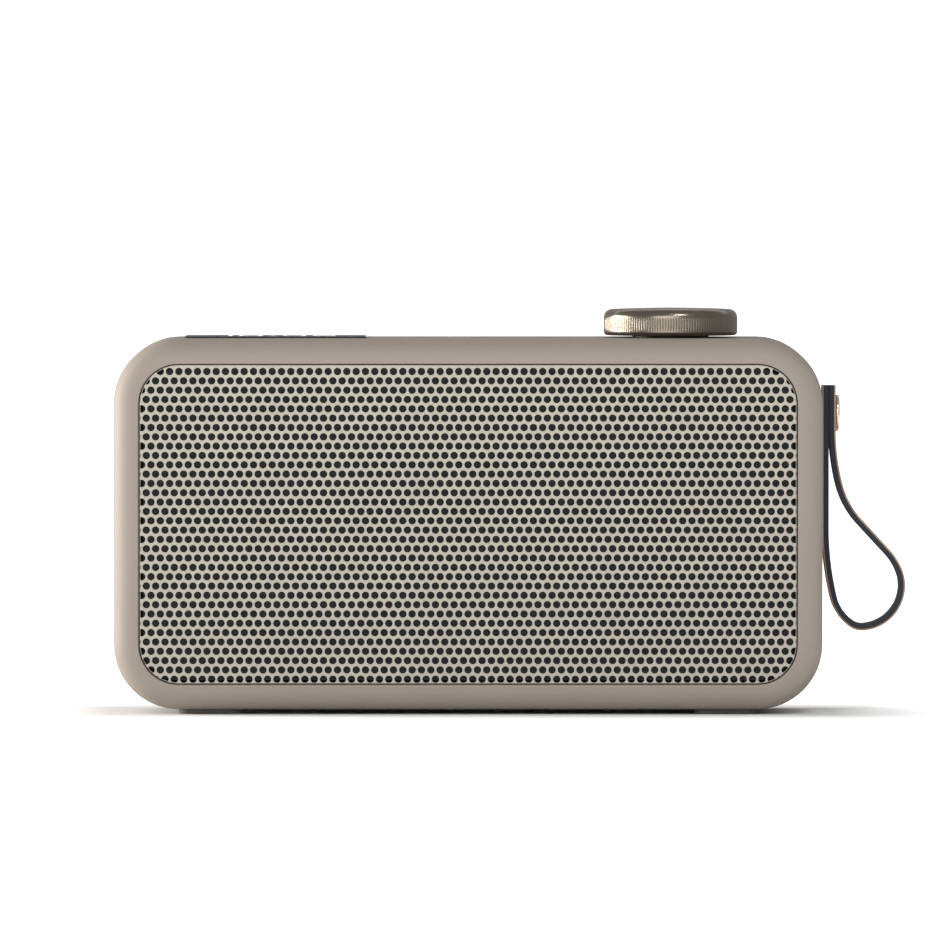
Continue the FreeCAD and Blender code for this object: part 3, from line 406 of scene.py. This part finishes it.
class StageSettings(bpy.types.PropertyGroup):
    """Floor, lights and camera."""
    distance: length_property("Distance", "From the camera to the radio's front", 5.0)
    field: length_property("Field", "Width of the picture at the radio's front", 0.2665)
    elevation: FloatProperty(name="Elevation", description="Height of the camera's view, in degrees",
                             default=1.3)
    floor: colour_property("Floor", "Pale floor", (0.86, 0.86, 0.86))
    glow: FloatProperty(name="Floor glow", description="Light that the floor gives off by itself",
                        default=0.66, min=0)


# ---------------------------------------------------------------- pieces

def perforated_sheet(settings):
    """Flat front of the grille with its holes.

    Hole centres lie on rows a pitch apart, every second row moved half a pitch. All hole and
    outline edges are triangulated together, and triangles inside a hole or outside are dropped."""
    first, last = low("front_grille"), high("front_grille")
    width, height = last[0] - first[0], last[2] - first[2]
    centre = (first + last) / 2
    pitch, hole, roll, sides = settings.pitch, settings.hole, settings.roll, settings.sides
    corner, drop = settings.corner, settings.drop
    outline = rounded_rectangle(width - 2 * roll, height - 2 * roll, corner - roll)
    rows = int(round(height / pitch))
    columns = int(width / pitch / 2) + 1
    row, column = np.meshgrid(np.arange(rows), np.arange(-columns, columns + 1), indexing="ij")
    hx = (column + 0.5 * (row % 2)) * pitch
    hz = ((rows - 1) / 2 - row) * pitch - drop
    centres = np.stack([hx.ravel(), hz.ravel()], axis=-1)
    reach = distance_inside(centres, width - 2 * roll, height - 2 * roll, corner - roll)
    centres = centres[reach > -hole * 0.92]
    turn = (np.arange(sides) + 0.5) * 2 * np.pi / sides
    rings = centres[:, None, :] + hole * np.stack([np.cos(turn), np.sin(turn)], axis=-1)[None]
    points = np.concatenate([outline, rings.reshape(-1, 2)])
    count = len(outline)
    loop = np.arange(count)
    edges = np.stack([loop, (loop + 1) % count], axis=-1)
    index = np.arange(len(centres) * sides).reshape(-1, sides)
    ring_edges = np.stack([index, np.roll(index, -1, axis=1)], axis=-1).reshape(-1, 2) + count
    edges = np.concatenate([edges, ring_edges])
    result = delaunay_2d_cdt([Vector(p) for p in (points * 1000).tolist()], edges.tolist(), [], 0, 1e-6)
    flat = np.array([tuple(v) for v in result[0]]) / 1000
    triangles = np.array([face for face in result[2] if len(face) == 3])
    heart = flat[triangles].mean(axis=1)
    inside = distance_inside(heart, width - 2 * roll, height - 2 * roll, corner - roll) > 0
    near_row = np.clip(np.round((rows - 1) / 2 - (heart[:, 1] + drop) / pitch), 0, rows - 1)
    solid = np.ones(len(heart), bool)
    for step in (-1, 0, 1):
        r = np.clip(near_row + step, 0, rows - 1)
        shift = 0.5 * (r % 2)
        x = (np.round(heart[:, 0] / pitch - shift) + shift) * pitch
        z = ((rows - 1) / 2 - r) * pitch - drop
        solid &= np.hypot(heart[:, 0] - x, heart[:, 1] - z) > hole * 0.985
    return flat, triangles[inside & solid], centre, outline


def distance_inside(points, width, height, radius):
    """How far points lie inside a rectangle with round corners, negative outside it."""
    x = np.abs(points[:, 0]) - (width / 2 - radius)
    z = np.abs(points[:, 1]) - (height / 2 - radius)
    outside = np.hypot(np.maximum(x, 0), np.maximum(z, 0))
    return radius - outside - np.minimum(np.maximum(x, z), 0)


def make_grille(settings):
    """The grille: the holed sheet, its back, the walls of its holes and its folded rim."""
    flat, triangles, centre, outline = perforated_sheet(settings)
    front = low("front_grille")[1]
    back = high("front_grille")[1]
    sheet, roll = settings.sheet, settings.roll
    used, triangles = np.unique(triangles, return_inverse=True)
    triangles = triangles.reshape(-1, 3)
    flat = flat[used]
    count = len(flat)
    a, b, c = (flat[triangles[:, k]] for k in range(3))
    turn = (b[:, 0] - a[:, 0]) * (c[:, 1] - a[:, 1]) - (b[:, 1] - a[:, 1]) * (c[:, 0] - a[:, 0])
    triangles[turn < 0] = triangles[turn < 0][:, ::-1]
    sides = np.concatenate([triangles[:, [0, 1]], triangles[:, [1, 2]], triangles[:, [2, 0]]])
    key = sides[:, 0] * count + sides[:, 1]
    twin = sides[:, 1] * count + sides[:, 0]
    border = sides[~np.isin(key, twin)]
    walls = np.stack([border[:, 1], border[:, 0], border[:, 0] + count, border[:, 1] + count], axis=-1)
    place = lambda y: np.stack([flat[:, 0] + centre[0], np.full(count, y), flat[:, 1] + centre[2]], axis=-1)
    points = np.concatenate([place(front), place(front + sheet)])
    faces = triangles.tolist() + (triangles[:, ::-1] + count).tolist() + walls.tolist()
    sheet_piece = add_mesh("perforated_sheet", points, faces)
    first, last = low("front_grille"), high("front_grille")
    width, height = last[0] - first[0], last[2] - first[2]
    corner, lip, burr = settings.corner, 0.25 * MM, 0.15 * MM
    section = np.concatenate([[(roll, 0)], arc((roll, roll), roll, -90, -180, 7),
                              [(0, back - front - burr), (burr, back - front),
                               (lip, back - front), (lip, sheet), (roll, sheet)]])
    loops = [rounded_rectangle(width - 2 * inset, height - 2 * inset, corner - inset)
             for inset, _ in section]
    rim = np.stack([np.stack([loop[:, 0] + centre[0], np.full(len(loop), front + depth),
                              loop[:, 1] + centre[2]], axis=-1)
                    for loop, (_, depth) in zip(loops, section)])
    rim_piece = outward(add_mesh("grille_rim", rim, grid_faces(len(section), len(outline), around=True)))
    return sheet_piece, rim_piece


class RADIO_OT_grille(bpy.types.Operator):
    """Makes the perforated front"""
    bl_idname = "radio.grille"
    bl_label = "Perforated grille"

    def execute(self, context):
        settings = context.scene.radio_grille
        finish = metal("grille_satin", tuple(settings.metal), 0.36, 0.3 * MM, metallic=0.55,
                       Specular_IOR_Level=0.5)
        pieces = make_grille(settings)
        for piece in pieces:
            settle(sharpen(piece, 30), "body", finish, "grille_metal", "front_grille")
        return {"FINISHED"}


class RADIO_OT_knob(bpy.types.Operator):
    """Makes the knob with its knurled rim and turned top"""
    bl_idname = "radio.knob"
    bl_label = "Knob"

    def execute(self, context):
        settings = context.scene.radio_knob
        base, top = low("knob"), high("knob")
        radius = (top[0] - base[0]) / 2
        height = top[2] - base[2]
        centre = ((base[0] + top[0]) / 2, (base[1] + top[1]) / 2, base[2])
        edge, dome, base_edge, bevel = settings.edge, 0.4 * MM, 1.1 * MM, 0.25 * MM
        band = (1.15 * MM, height - dome - edge + 0.15 * MM)
        hollow, shaft, recess = 11.4 * MM, 3.05 * MM, 2.5 * MM
        fade = 0.35 * MM
        rise = np.linspace(*band, 9)
        crown = radius - edge
        sweep = np.linspace(0, 1, 14)[1:]
        profile = np.concatenate([
            [(shaft, height - recess), (shaft, recess), (hollow, recess), (hollow, bevel),
             (hollow + bevel, 0)],
            [(radius - base_edge, 0)], arc((radius - base_edge, base_edge), base_edge, -75, 0, 5),
            np.stack([np.full(9, radius), rise], axis=-1),
            arc((radius - edge, height - dome - edge), edge, 8, 90, 9),
            np.stack([crown * (1 - sweep), height - dome * (1 - sweep) ** 2], axis=-1)])
        grooves, depth = settings.grooves, settings.groove

        def knurl(r, h, t):
            rise_in = np.clip((h - band[0]) / fade, 0, 1) * np.clip((band[1] - h) / fade, 0, 1)
            at_rim = np.abs(r - radius) < 0.01 * MM
            return r - at_rim * rise_in * depth * (0.5 - 0.5 * np.cos(grooves * t)) ** 5

        piece = lathe("knurled_knob", profile, centre, "z", grooves * 12, knurl)
        finish = turned_metal("anodised_turned", tuple(settings.metal), centre)
        settle(sharpen(piece, 50), "knob", finish, "knob_metal", "knob")
        return {"FINISHED"}


# Degrees turned in the strap's lean, sweep, toe, shoulder, return and rise.
STRAP_TURNS = (13.3, 41.1, 39.2, 19.3, 28.3, 14.3)
# Millimetres of radius in the lean, sweep, toe, bowl, shoulder, return and rise.
STRAP_RADII = (86.0, 13.0, 5.1, 11.7, 17.0, 24.6, 62.4)


def strap_line(settings):
    """The strap's middle line: straight runs and tangent arcs from the upper end, down beside the
    body, round the bowl and back up. Returns the points' x and z and the headings along the line."""
    thickness, leg = settings.thickness, settings.leg
    lean, sweep, toe, shoulder, back, rise = np.radians(STRAP_TURNS)
    radii = np.array(STRAP_RADII) * MM
    bowl = math.pi + back + rise - lean - sweep - toe - shoulder
    turns = [lean, sweep, toe, bowl, shoulder]
    across, heading = 0.0, -math.pi / 2
    for radius, angle in zip(radii, turns):
        across += radius * (math.sin(heading + angle) - math.sin(heading))
        heading += angle
    swing = radii[5] * (math.cos(rise) - math.cos(back + rise)) + radii[6] * (1 - math.cos(rise))
    run = (across - thickness - swing) / math.sin(back + rise)
    top = high("strap")[2]
    parts = [(leg, 0.0, 46)]
    parts += [(radius * angle, 1 / radius, 30) for radius, angle in zip(radii, turns)]
    parts += [(run, 0.0, 10), (radii[5] * back, -1 / radii[5], 24), (radii[6] * rise, -1 / radii[6], 24)]
    steps = np.concatenate([np.full(count, size / count) for size, _, count in parts])
    bends = np.concatenate([np.full(count, bend) for _, bend, count in parts])
    turn = np.concatenate([[0], np.cumsum(steps * bends)]) - math.pi / 2
    halfway = (turn[:-1] + turn[1:]) / 2
    chord = steps * np.sinc(steps * bends / 2 / math.pi)
    x = low("strap")[0] + thickness / 2 + np.concatenate([[0], np.cumsum(chord * np.cos(halfway))])
    z = top + np.concatenate([[0], np.cumsum(chord * np.sin(halfway))])
    last_steps = 19
    climb = np.linspace(0, 1, last_steps + 1)[1:] * (top - z[-1])
    x = np.concatenate([x, np.full(last_steps, x[-1])])
    z = np.concatenate([z, z[-1] + climb])
    turn = np.concatenate([turn, np.full(last_steps, math.pi / 2)])
    return x, z, turn


def strap_section(width, thickness):
    """Outline of the leather strip: crowned faces, rounded shoulders and a fine line between the
    skin and the core on each edge. Returns places across the width and through the thickness."""
    half, thick = width / 2, thickness / 2
    shoulder = 0.5 * MM
    seam = 0.56 * thick
    outer = arc((half - shoulder, thick - shoulder * 0.75), shoulder, 80, 5, 5)
    outer[:, 1] = thick - (thick - outer[:, 1]) * 0.72
    inner = 0.2 * MM
    lower = arc((half - inner, -thick + inner), inner, 0, -88, 5)
    brim, groove, spread = 0.01 * MM, 0.09 * MM, 0.05 * MM
    notch = [(half - brim, seam + spread), (half - groove, seam), (half - brim, seam - spread)]
    right = np.concatenate([outer, notch, [(half, -thick * 0.2)], lower])
    face = np.linspace(half - 1.1 * MM, 0, 7)
    crown = np.stack([face, thick - 0.03 * MM * (face / half) ** 2], axis=-1)
    under = np.stack([face[:-1], np.full(len(face) - 1, -thick)], axis=-1)
    side = np.concatenate([crown[::-1][:-1], crown[:1], right, under])
    mirror = side[::-1] * np.array([-1, 1])
    return np.concatenate([side, [(0, -thick)], mirror[:-1]])


class RADIO_OT_strap(bpy.types.Operator):
    """Makes the leather wrist strap and the stud that holds it"""
    bl_idname = "radio.strap"
    bl_label = "Wrist strap"

    def execute(self, context):
        settings = context.scene.radio_strap
        thickness = settings.thickness
        width = (high("strap") - low("strap"))[1]
        x, z, turn = strap_line(settings)
        section = strap_section(width, thickness)
        side, depth = section[:, 0], section[:, 1]
        outside = np.stack([np.sin(turn), -np.cos(turn)], axis=-1)
        shrink = 0.985
        grid = np.stack([x[:, None] + outside[:, :1] * depth[None, :] * shrink,
                         np.repeat(side[None, :], len(x), axis=0) + middle("strap")[1],
                         z[:, None] + outside[:, 1:] * depth[None, :] * shrink], axis=-1)
        count = len(section)
        faces = grid_faces(len(x), count, around=True)
        faces += [list(range(count)), list(range((len(x) - 1) * count, len(x) * count))[::-1]]
        mesh = bpy.data.meshes.new("leather_strap")
        mesh.from_pydata(grid.reshape(-1, 3).tolist(), [], faces)
        share = np.tile((depth / thickness + 0.5), len(x))
        mark = mesh.attributes.new("depth", "FLOAT", "POINT")
        mark.data.foreach_set("value", share.astype(np.float32))
        mesh.polygons.foreach_set("use_smooth", [True] * len(mesh.polygons))
        piece = bpy.data.objects.new("leather_strap", mesh)
        context.scene.collection.objects.link(piece)
        finish = leather("strap_leather", tuple(settings.skin), tuple(settings.core))
        settle(sharpen(outward(piece), 50), "strap", finish, "strap_leather", "strap")
        head = high("strap_stud")
        radius = (head[2] - low("strap_stud")[2]) / 2
        out = low("strap")[0] + 2 * thickness + 0.1 * MM
        reach, inner = head[0] - out, low("strap_stud")[0] - out
        shank, rim, under_edge = 2.45 * MM, 0.45 * MM, 0.15 * MM
        profile = np.concatenate([
            [(0, inner + 0.4 * MM), (shank - rim, inner), (shank, inner + 0.4 * MM), (shank, 0),
             (radius - under_edge, 0), (radius, under_edge)],
            arc((radius - rim, reach - rim), rim, 0, 80, 7),
            [(radius * 0.6, reach - 0.03 * MM), (0, reach)]])
        profile[:, 1] = np.minimum(profile[:, 1], reach)
        stud = lathe("domed_stud", profile, (out, 0, middle("strap_stud")[2]), "x", 72)
        knob_metal = metal("stud_metal", tone(tuple(context.scene.radio_knob.metal), 3.4), 0.22, 0.2 * MM)
        settle(sharpen(stud, 45), "body", knob_metal, "knob_metal", "strap_stud")
        return {"FINISHED"}


class RADIO_OT_keys(bpy.types.Operator):
    """Makes the three round keys, each with a shallow dish"""
    bl_idname = "radio.keys"
    bl_label = "Keys"

    def execute(self, context):
        finish = soft_touch("key_paint", tone(tuple(context.scene.radio_shell.paint), 0.93))
        for node in ("key_left", "key_centre", "key_right"):
            base, top = low(node), high(node)
            height = top[2] - base[2]
            flange = (top[0] - base[0]) / 2
            radius, stem = flange - 0.9 * MM, 1.8 * MM
            flange_low, flange_high = 0.6 * MM, 1.4 * MM
            sweep = np.linspace(1, 0, 12)
            round_edge, dish = 0.3 * MM, 0.6 * MM
            rim = radius - 0.8 * MM
            profile = np.concatenate([
                [(0, 0), (stem, 0), (stem, flange_low), (flange, flange_low), (flange, flange_high),
                 (radius, flange_high), (radius, height - round_edge)],
                arc((radius - round_edge, height - round_edge), round_edge, 10, 90, 6),
                np.stack([rim * sweep, height - dish * (1 - sweep ** 2)], axis=-1)])
            centre = ((base[0] + top[0]) / 2, (base[1] + top[1]) / 2, base[2])
            piece = lathe(node + "_cap", profile, centre, "z", 80)
            settle(sharpen(piece, 40), node, finish, "keys", node)
        return {"FINISHED"}


DIGITS = {"0": "abcdef", "1": "bc", "4": "fgbc", "5": "afgcd"}


def digit_bars(character, corner, size, stroke):
    """Outlines of the lit bars of a seven-bar digit whose lower left corner and height are given."""
    wide, tall = size * 0.55, size
    half = tall / 2
    lines = {"a": ((0, tall), (wide, tall)), "g": ((0, half), (wide, half)), "d": ((0, 0), (wide, 0)),
             "f": ((0, half), (0, tall)), "b": ((wide, half), (wide, tall)),
             "e": ((0, 0), (0, half)), "c": ((wide, 0), (wide, half))}
    bars = []
    for letter in DIGITS[character]:
        start, end = np.array(lines[letter][0]), np.array(lines[letter][1])
        along = (end - start) / np.linalg.norm(end - start)
        side = np.array([-along[1], along[0]]) * stroke / 2
        gap = along * stroke * 0.65
        start, end = start + gap, end - gap
        tip = along * stroke / 2
        bars.append(np.array([start - tip, start - side, end - side, end + tip, end + side, start + side])
                    + np.array(corner))
    return bars


class RADIO_OT_display(bpy.types.Operator):
    """Makes the lit digits under the black glass"""
    bl_idname = "radio.display"
    bl_label = "Display digits"

    def execute(self, context):
        first, last = low("display_glass"), high("display_glass")
        size, stroke = 10 * MM, 1.1 * MM
        step = size * 0.85
        left = (first[0] + last[0]) / 2 - 2.15 * step
        bottom = -size / 2
        outlines = []
        for place, character in zip((0, 1, 2.45, 3.45), "1045"):
            outlines += digit_bars(character, (left + place * step, bottom), size, stroke)
        dot = arc((0, 0), stroke * 0.6, 0, 360, 13)[:-1]
        for lift in (-0.22, 0.22):
            outlines.append(dot + np.array([left + 2.05 * step, lift * size]))
        points, faces = [], []
        level = last[2] + 0.015 * MM
        for outline in outlines:
            faces.append(list(range(len(points), len(points) + len(outline))))
            points += [(px, py, level) for px, py in outline]
        piece = add_mesh("display_digits", points, faces, smooth=False)
        settle(piece, "body", lit("display_glow", (1.0, 0.93, 0.82), 1.6), "display_module")
        return {"FINISHED"}


class RADIO_OT_screws(bpy.types.Operator):
    """Makes the rear screws with a six-lobed recess in each head"""
    bl_idname = "radio.screws"
    bl_label = "Rear screws"

    def execute(self, context):
        finish = metal("screw_black", (0.05, 0.05, 0.052), 0.35, 0.2 * MM)
        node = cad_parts["rear_cover_screws"]
        points = np.empty(len(node.data.vertices) * 3)
        node.data.vertices.foreach_get("co", points)
        points = points.reshape(-1, 3)
        heads = points[points[:, 1] > high("rear_cover_screws")[1] - 0.01 * MM]
        reach = 4 * MM
        centres = []
        while len(heads):
            near = np.hypot(*(heads[:, [0, 2]] - heads[0, [0, 2]]).T) < reach
            box = heads[near]
            centres.append(((box[:, 0].min() + box[:, 0].max()) / 2,
                            (box[:, 2].min() + box[:, 2].max()) / 2))
            heads = heads[~near]
        back, front = high("rear_cover_screws")[1], low("rear_cover_screws")[1]
        head, shank, seat = 1.9 * MM, 1.1 * MM, 1.2 * MM
        profile = np.array([(0, front - back), (shank, front - back + 0.8 * MM), (shank, -seat),
                            (head, -seat), (head, -0.3 * MM), (head - 0.25 * MM, 0), (1.15 * MM, 0),
                            (1.05 * MM, -0.1 * MM), (1.0 * MM, -0.75 * MM), (0, -0.8 * MM)])

        def lobes(r, h, t):
            recess = (h > -0.85 * MM) & (r < 1.2 * MM) & (r > 0.5 * MM)
            return np.where(recess, r * (1 + 0.17 * np.cos(6 * t)), r)

        parts = [lathe("screw", profile, (cx, back, cz), "y", 60, lobes) for cx, cz in sorted(centres)]
        mesh = join_meshes("rear_screws", parts)
        settle(sharpen(mesh, 35), "body", finish, "screws", "rear_cover_screws")
        return {"FINISHED"}


def join_meshes(name, parts):
    """Several pieces made into one mesh."""
    points, faces, start = [], [], 0
    for part in parts:
        points += [tuple(v.co) for v in part.data.vertices]
        faces += [[start + v for v in face.vertices] for face in part.data.polygons]
        start += len(part.data.vertices)
        mesh = part.data
        bpy.data.objects.remove(part)
        bpy.data.meshes.remove(mesh)
    return add_mesh(name, points, faces)


def cad_finishes(scene):
    """The material of each CAD node that stays in view or inside."""
    paint = tuple(scene.radio_shell.paint)
    knob = tuple(scene.radio_knob.metal)
    black = (0.03, 0.03, 0.032)
    shell = soft_touch("soft_touch_paint", paint)
    steel = metal("zinc_steel", (0.56, 0.56, 0.57), 0.3)
    dark_steel = metal("black_steel", (0.06, 0.06, 0.062), 0.4)
    chrome = metal("aerial_chrome", (0.78, 0.78, 0.79), 0.12, 0.5 * MM, stretch=(0.05, 1, 1))
    board = solder_mask("solder_mask", (0.02, 0.11, 0.045))
    plastic = moulded("black_plastic", black, 0.45)
    rubber = moulded("roll_rubber", (0.022, 0.022, 0.023), 0.6, 0.2 * MM, 0.03 * MM)
    foot = moulded("foot_rubber", tuple(scene.radio_shell.rubber), 0.7, 0.35 * MM, 0.05 * MM)
    paper = moulded("cone_paper", (0.045, 0.043, 0.042), 0.85, 0.5 * MM, 0.12 * MM)
    table = {
        shell: ["front_housing", "rear_cover"],
        soft_touch("button_paint", tone(paint, 0.55)): ["power_button"],
        woven("black_cloth", (0.018, 0.018, 0.019)): ["grille_cloth"],
        moulded("baffle_board", (0.03, 0.029, 0.028), 0.75, 0.6 * MM, 0.05 * MM): ["baffle"],
        dark_steel: ["left_basket", "right_basket", "baffle_screws", "speaker_screws",
                     "upper_board_screws"],
        metal("ferrite", (0.1, 0.1, 0.105), 0.65, 0.3 * MM, metallic=0.3): ["left_magnet", "right_magnet"],
        steel: ["left_yoke", "right_yoke", "strap_nut", "encoder_body", "encoder_shaft", "aerial_pin"],
        paper: ["left_cone", "right_cone"],
        moulded("cap_film", (0.03, 0.03, 0.034), 0.3): ["left_dust_cap", "right_dust_cap"],
        wound("copper_winding", (0.72, 0.36, 0.2)): ["left_coil", "right_coil"],
        rubber: ["left_surround", "right_surround", "radiator_surround"],
        plastic: ["radiator_frame", "line_socket", "power_switch", "key_switches", "battery_cradle",
                  "display_module", "encoder_hub"],
        metal("plate_aluminium", (0.5, 0.5, 0.51), 0.35, 0.3 * MM, stretch=(0.1, 1, 1)): ["radiator_plate"],
        polished_glass("black_glass", (0.004, 0.004, 0.005)): ["display_glass"],
        board: ["upper_board", "main_board"],
        turned_metal("collar_metal", tone(knob, 0.35), tuple(middle("encoder_collar")), 0.4):
            ["encoder_collar"],
        metal("tinned_can", (0.66, 0.67, 0.66), 0.28, 0.6 * MM): ["tuner_can", "usb_socket"],
        moulded("cell_sleeve", (0.02, 0.09, 0.24), 0.3, 0.4 * MM, Coat_Weight=0.4): ["battery_cells"],
        chrome: ["aerial_foot", "aerial_knuckle", "aerial_section_1", "aerial_section_2",
                 "aerial_section_3", "aerial_section_4"],
        foot: ["foot_front_left", "foot_front_right", "foot_rear_left", "foot_rear_right"],
    }
    return table


class RADIO_OT_finishes(bpy.types.Operator):
    """Gives every CAD node its finish"""
    bl_idname = "radio.finishes"
    bl_label = "Finishes"

    def execute(self, context):
        for finish, nodes in cad_finishes(context.scene).items():
            for node in nodes:
                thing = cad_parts[node]
                thing.data.materials.clear()
                thing.data.materials.append(finish)
        return {"FINISHED"}


def floor_with_painted_glow(name, white, glow):
    """White table that glows by itself with painted light, except under the radio.

    The glow grows with the distance to the radio's outline on the floor, so the dim floor round the radio
    is a painted shadow."""
    finish = Finish(name, Roughness=0.9, Emission_Color=(1, 1, 1))
    parts = finish.node("SeparateXYZ", Vector=finish.place)
    half = (high("front_housing")[0], high("rear_cover")[1])
    beyond = [finish.maths("MAXIMUM", finish.maths("SUBTRACT", finish.maths("ABSOLUTE", part), reach), 0)
              for part, reach in zip(parts.outputs[:2], half)]
    squares = [finish.maths("MULTIPLY", item, item) for item in beyond]
    distance = finish.maths("SQRT", finish.maths("ADD", *squares))
    # Painted light and painted shadow: no glow within 2 mm of the radio, full glow from 45 mm away.
    strength = finish.ramp(distance, 0, glow, 2 * MM, 45 * MM)
    finish.feed(finish.shader.inputs["Emission Strength"], strength)
    grain = finish.noise(3 * MM, 3)
    return finish.surface(finish.mix(grain, tone(white, 0.995), white))


def studio_sweep():
    """A floor that bends up into a low far edge: a profile in Y and Z carried along X."""
    front, bend, back, tall = -3.2, 0.12, 3.2, 0.24
    line = np.concatenate([[(front, 0)], arc((back - bend, bend), bend, -90, 0, 16), [(back, tall)]])
    across = np.linspace(-0.6, 0.6, 9)
    grid = np.stack([np.repeat(across[None, :], len(line), axis=0),
                     np.repeat(line[:, :1], len(across), axis=1),
                     np.repeat(line[:, 1:], len(across), axis=1)], axis=-1)
    return add_mesh("studio_sweep", grid, grid_faces(len(line), len(across)))


def area_light(name, place, target, size, power, colour=(1, 1, 1)):
    """A soft rectangular light that looks at a point."""
    light = bpy.data.lights.new(name, "AREA")
    light.shape = "RECTANGLE"
    light.size, light.size_y = size
    light.energy = power
    light.color = colour
    thing = bpy.data.objects.new(name, light)
    thing.location = place
    thing.rotation_euler = (Vector(target) - Vector(place)).to_track_quat("-Z", "Y").to_euler()
    bpy.context.scene.collection.objects.link(thing)
    return thing


class RADIO_OT_stage(bpy.types.Operator):
    """Makes the floor, the lights and the camera"""
    bl_idname = "radio.stage"
    bl_label = "Stage"

    def execute(self, context):
        scene = context.scene
        settings = scene.radio_stage
        floor = studio_sweep()
        floor.data.materials.append(floor_with_painted_glow("floor_with_painted_glow", tuple(settings.floor), settings.glow))
        aim = (0, 0, 0.06)
        area_light("key_light", (-0.2, -1.5, 0.5), aim, (1.1, 0.8), 9.4, (1.0, 0.99, 0.98))
        area_light("top_light", (0.3, -0.75, 0.85), aim, (0.25, 0.2), 2.4)
        area_light("side_light", (-1.2, 0.22, 0.2), aim, (0.75, 0.6), 26.0, (1.0, 0.965, 0.93))
        area_light("back_light", (0.0, 0.9, 0.9), (0, 1.4, 0.2), (2.4, 1.0), 14.0)
        world = bpy.data.worlds.new("studio")
        world.use_nodes = True
        world.node_tree.nodes["Background"].inputs[0].default_value = (1, 1, 1, 1)
        world.node_tree.nodes["Background"].inputs[1].default_value = 0.42
        scene.world = world
        camera = bpy.data.cameras.new("camera")
        camera.sensor_width = 36
        camera.lens = 36 * settings.distance / settings.field
        camera.clip_end = 50
        view = bpy.data.objects.new("camera", camera)
        scene.collection.objects.link(view)
        focus = Vector((1.1 * MM, low("front_housing")[1], 68.61 * MM))
        tilt = math.radians(settings.elevation)
        view.location = focus + settings.distance * Vector((0, -math.cos(tilt), math.sin(tilt)))
        view.rotation_euler = (math.pi / 2 - tilt, 0, 0)
        scene.camera = view
        scene.view_settings.view_transform = "Standard"
        return {"FINISHED"}


class RADIO_PT_panel(bpy.types.Panel):
    """Lists the steps and settings of the radio"""
    bl_label = "Portable radio"
    bl_idname = "RADIO_PT_panel"
    bl_space_type = "VIEW_3D"
    bl_region_type = "UI"
    bl_category = "Radio"

    def draw(self, context):
        for group in GROUPS:
            settings = getattr(context.scene, group)
            box = self.layout.box()
            for name in settings.__annotations__:
                box.prop(settings, name)
        for operator in OPERATORS:
            self.layout.operator(operator.bl_idname)


GROUPS = {"radio_shell": ShellSettings, "radio_grille": GrilleSettings, "radio_knob": KnobSettings,
          "radio_strap": StrapSettings, "radio_stage": StageSettings}
OPERATORS = (RADIO_OT_stage, RADIO_OT_finishes, RADIO_OT_grille, RADIO_OT_knob, RADIO_OT_strap,
             RADIO_OT_keys, RADIO_OT_display, RADIO_OT_screws)


def register():
    """Registers the settings, the operators and the panel."""
    for name, group in GROUPS.items():
        bpy.utils.register_class(group)
        setattr(bpy.types.Scene, name, PointerProperty(type=group))
    for item in (*OPERATORS, RADIO_PT_panel):
        bpy.utils.register_class(item)


def unregister():
    """Takes everything that register added away again."""
    for item in (RADIO_PT_panel, *reversed(OPERATORS)):
        bpy.utils.unregister_class(item)
    for name, group in reversed(GROUPS.items()):
        delattr(bpy.types.Scene, name)
        bpy.utils.unregister_class(group)


def main():
    """Makes every piece."""
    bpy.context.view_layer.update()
    register()
    for operator in OPERATORS:
        prefix, name = operator.bl_idname.split(".")
        getattr(getattr(bpy.ops, prefix), name)()
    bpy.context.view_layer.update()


if __name__ == "__main__":
    main()
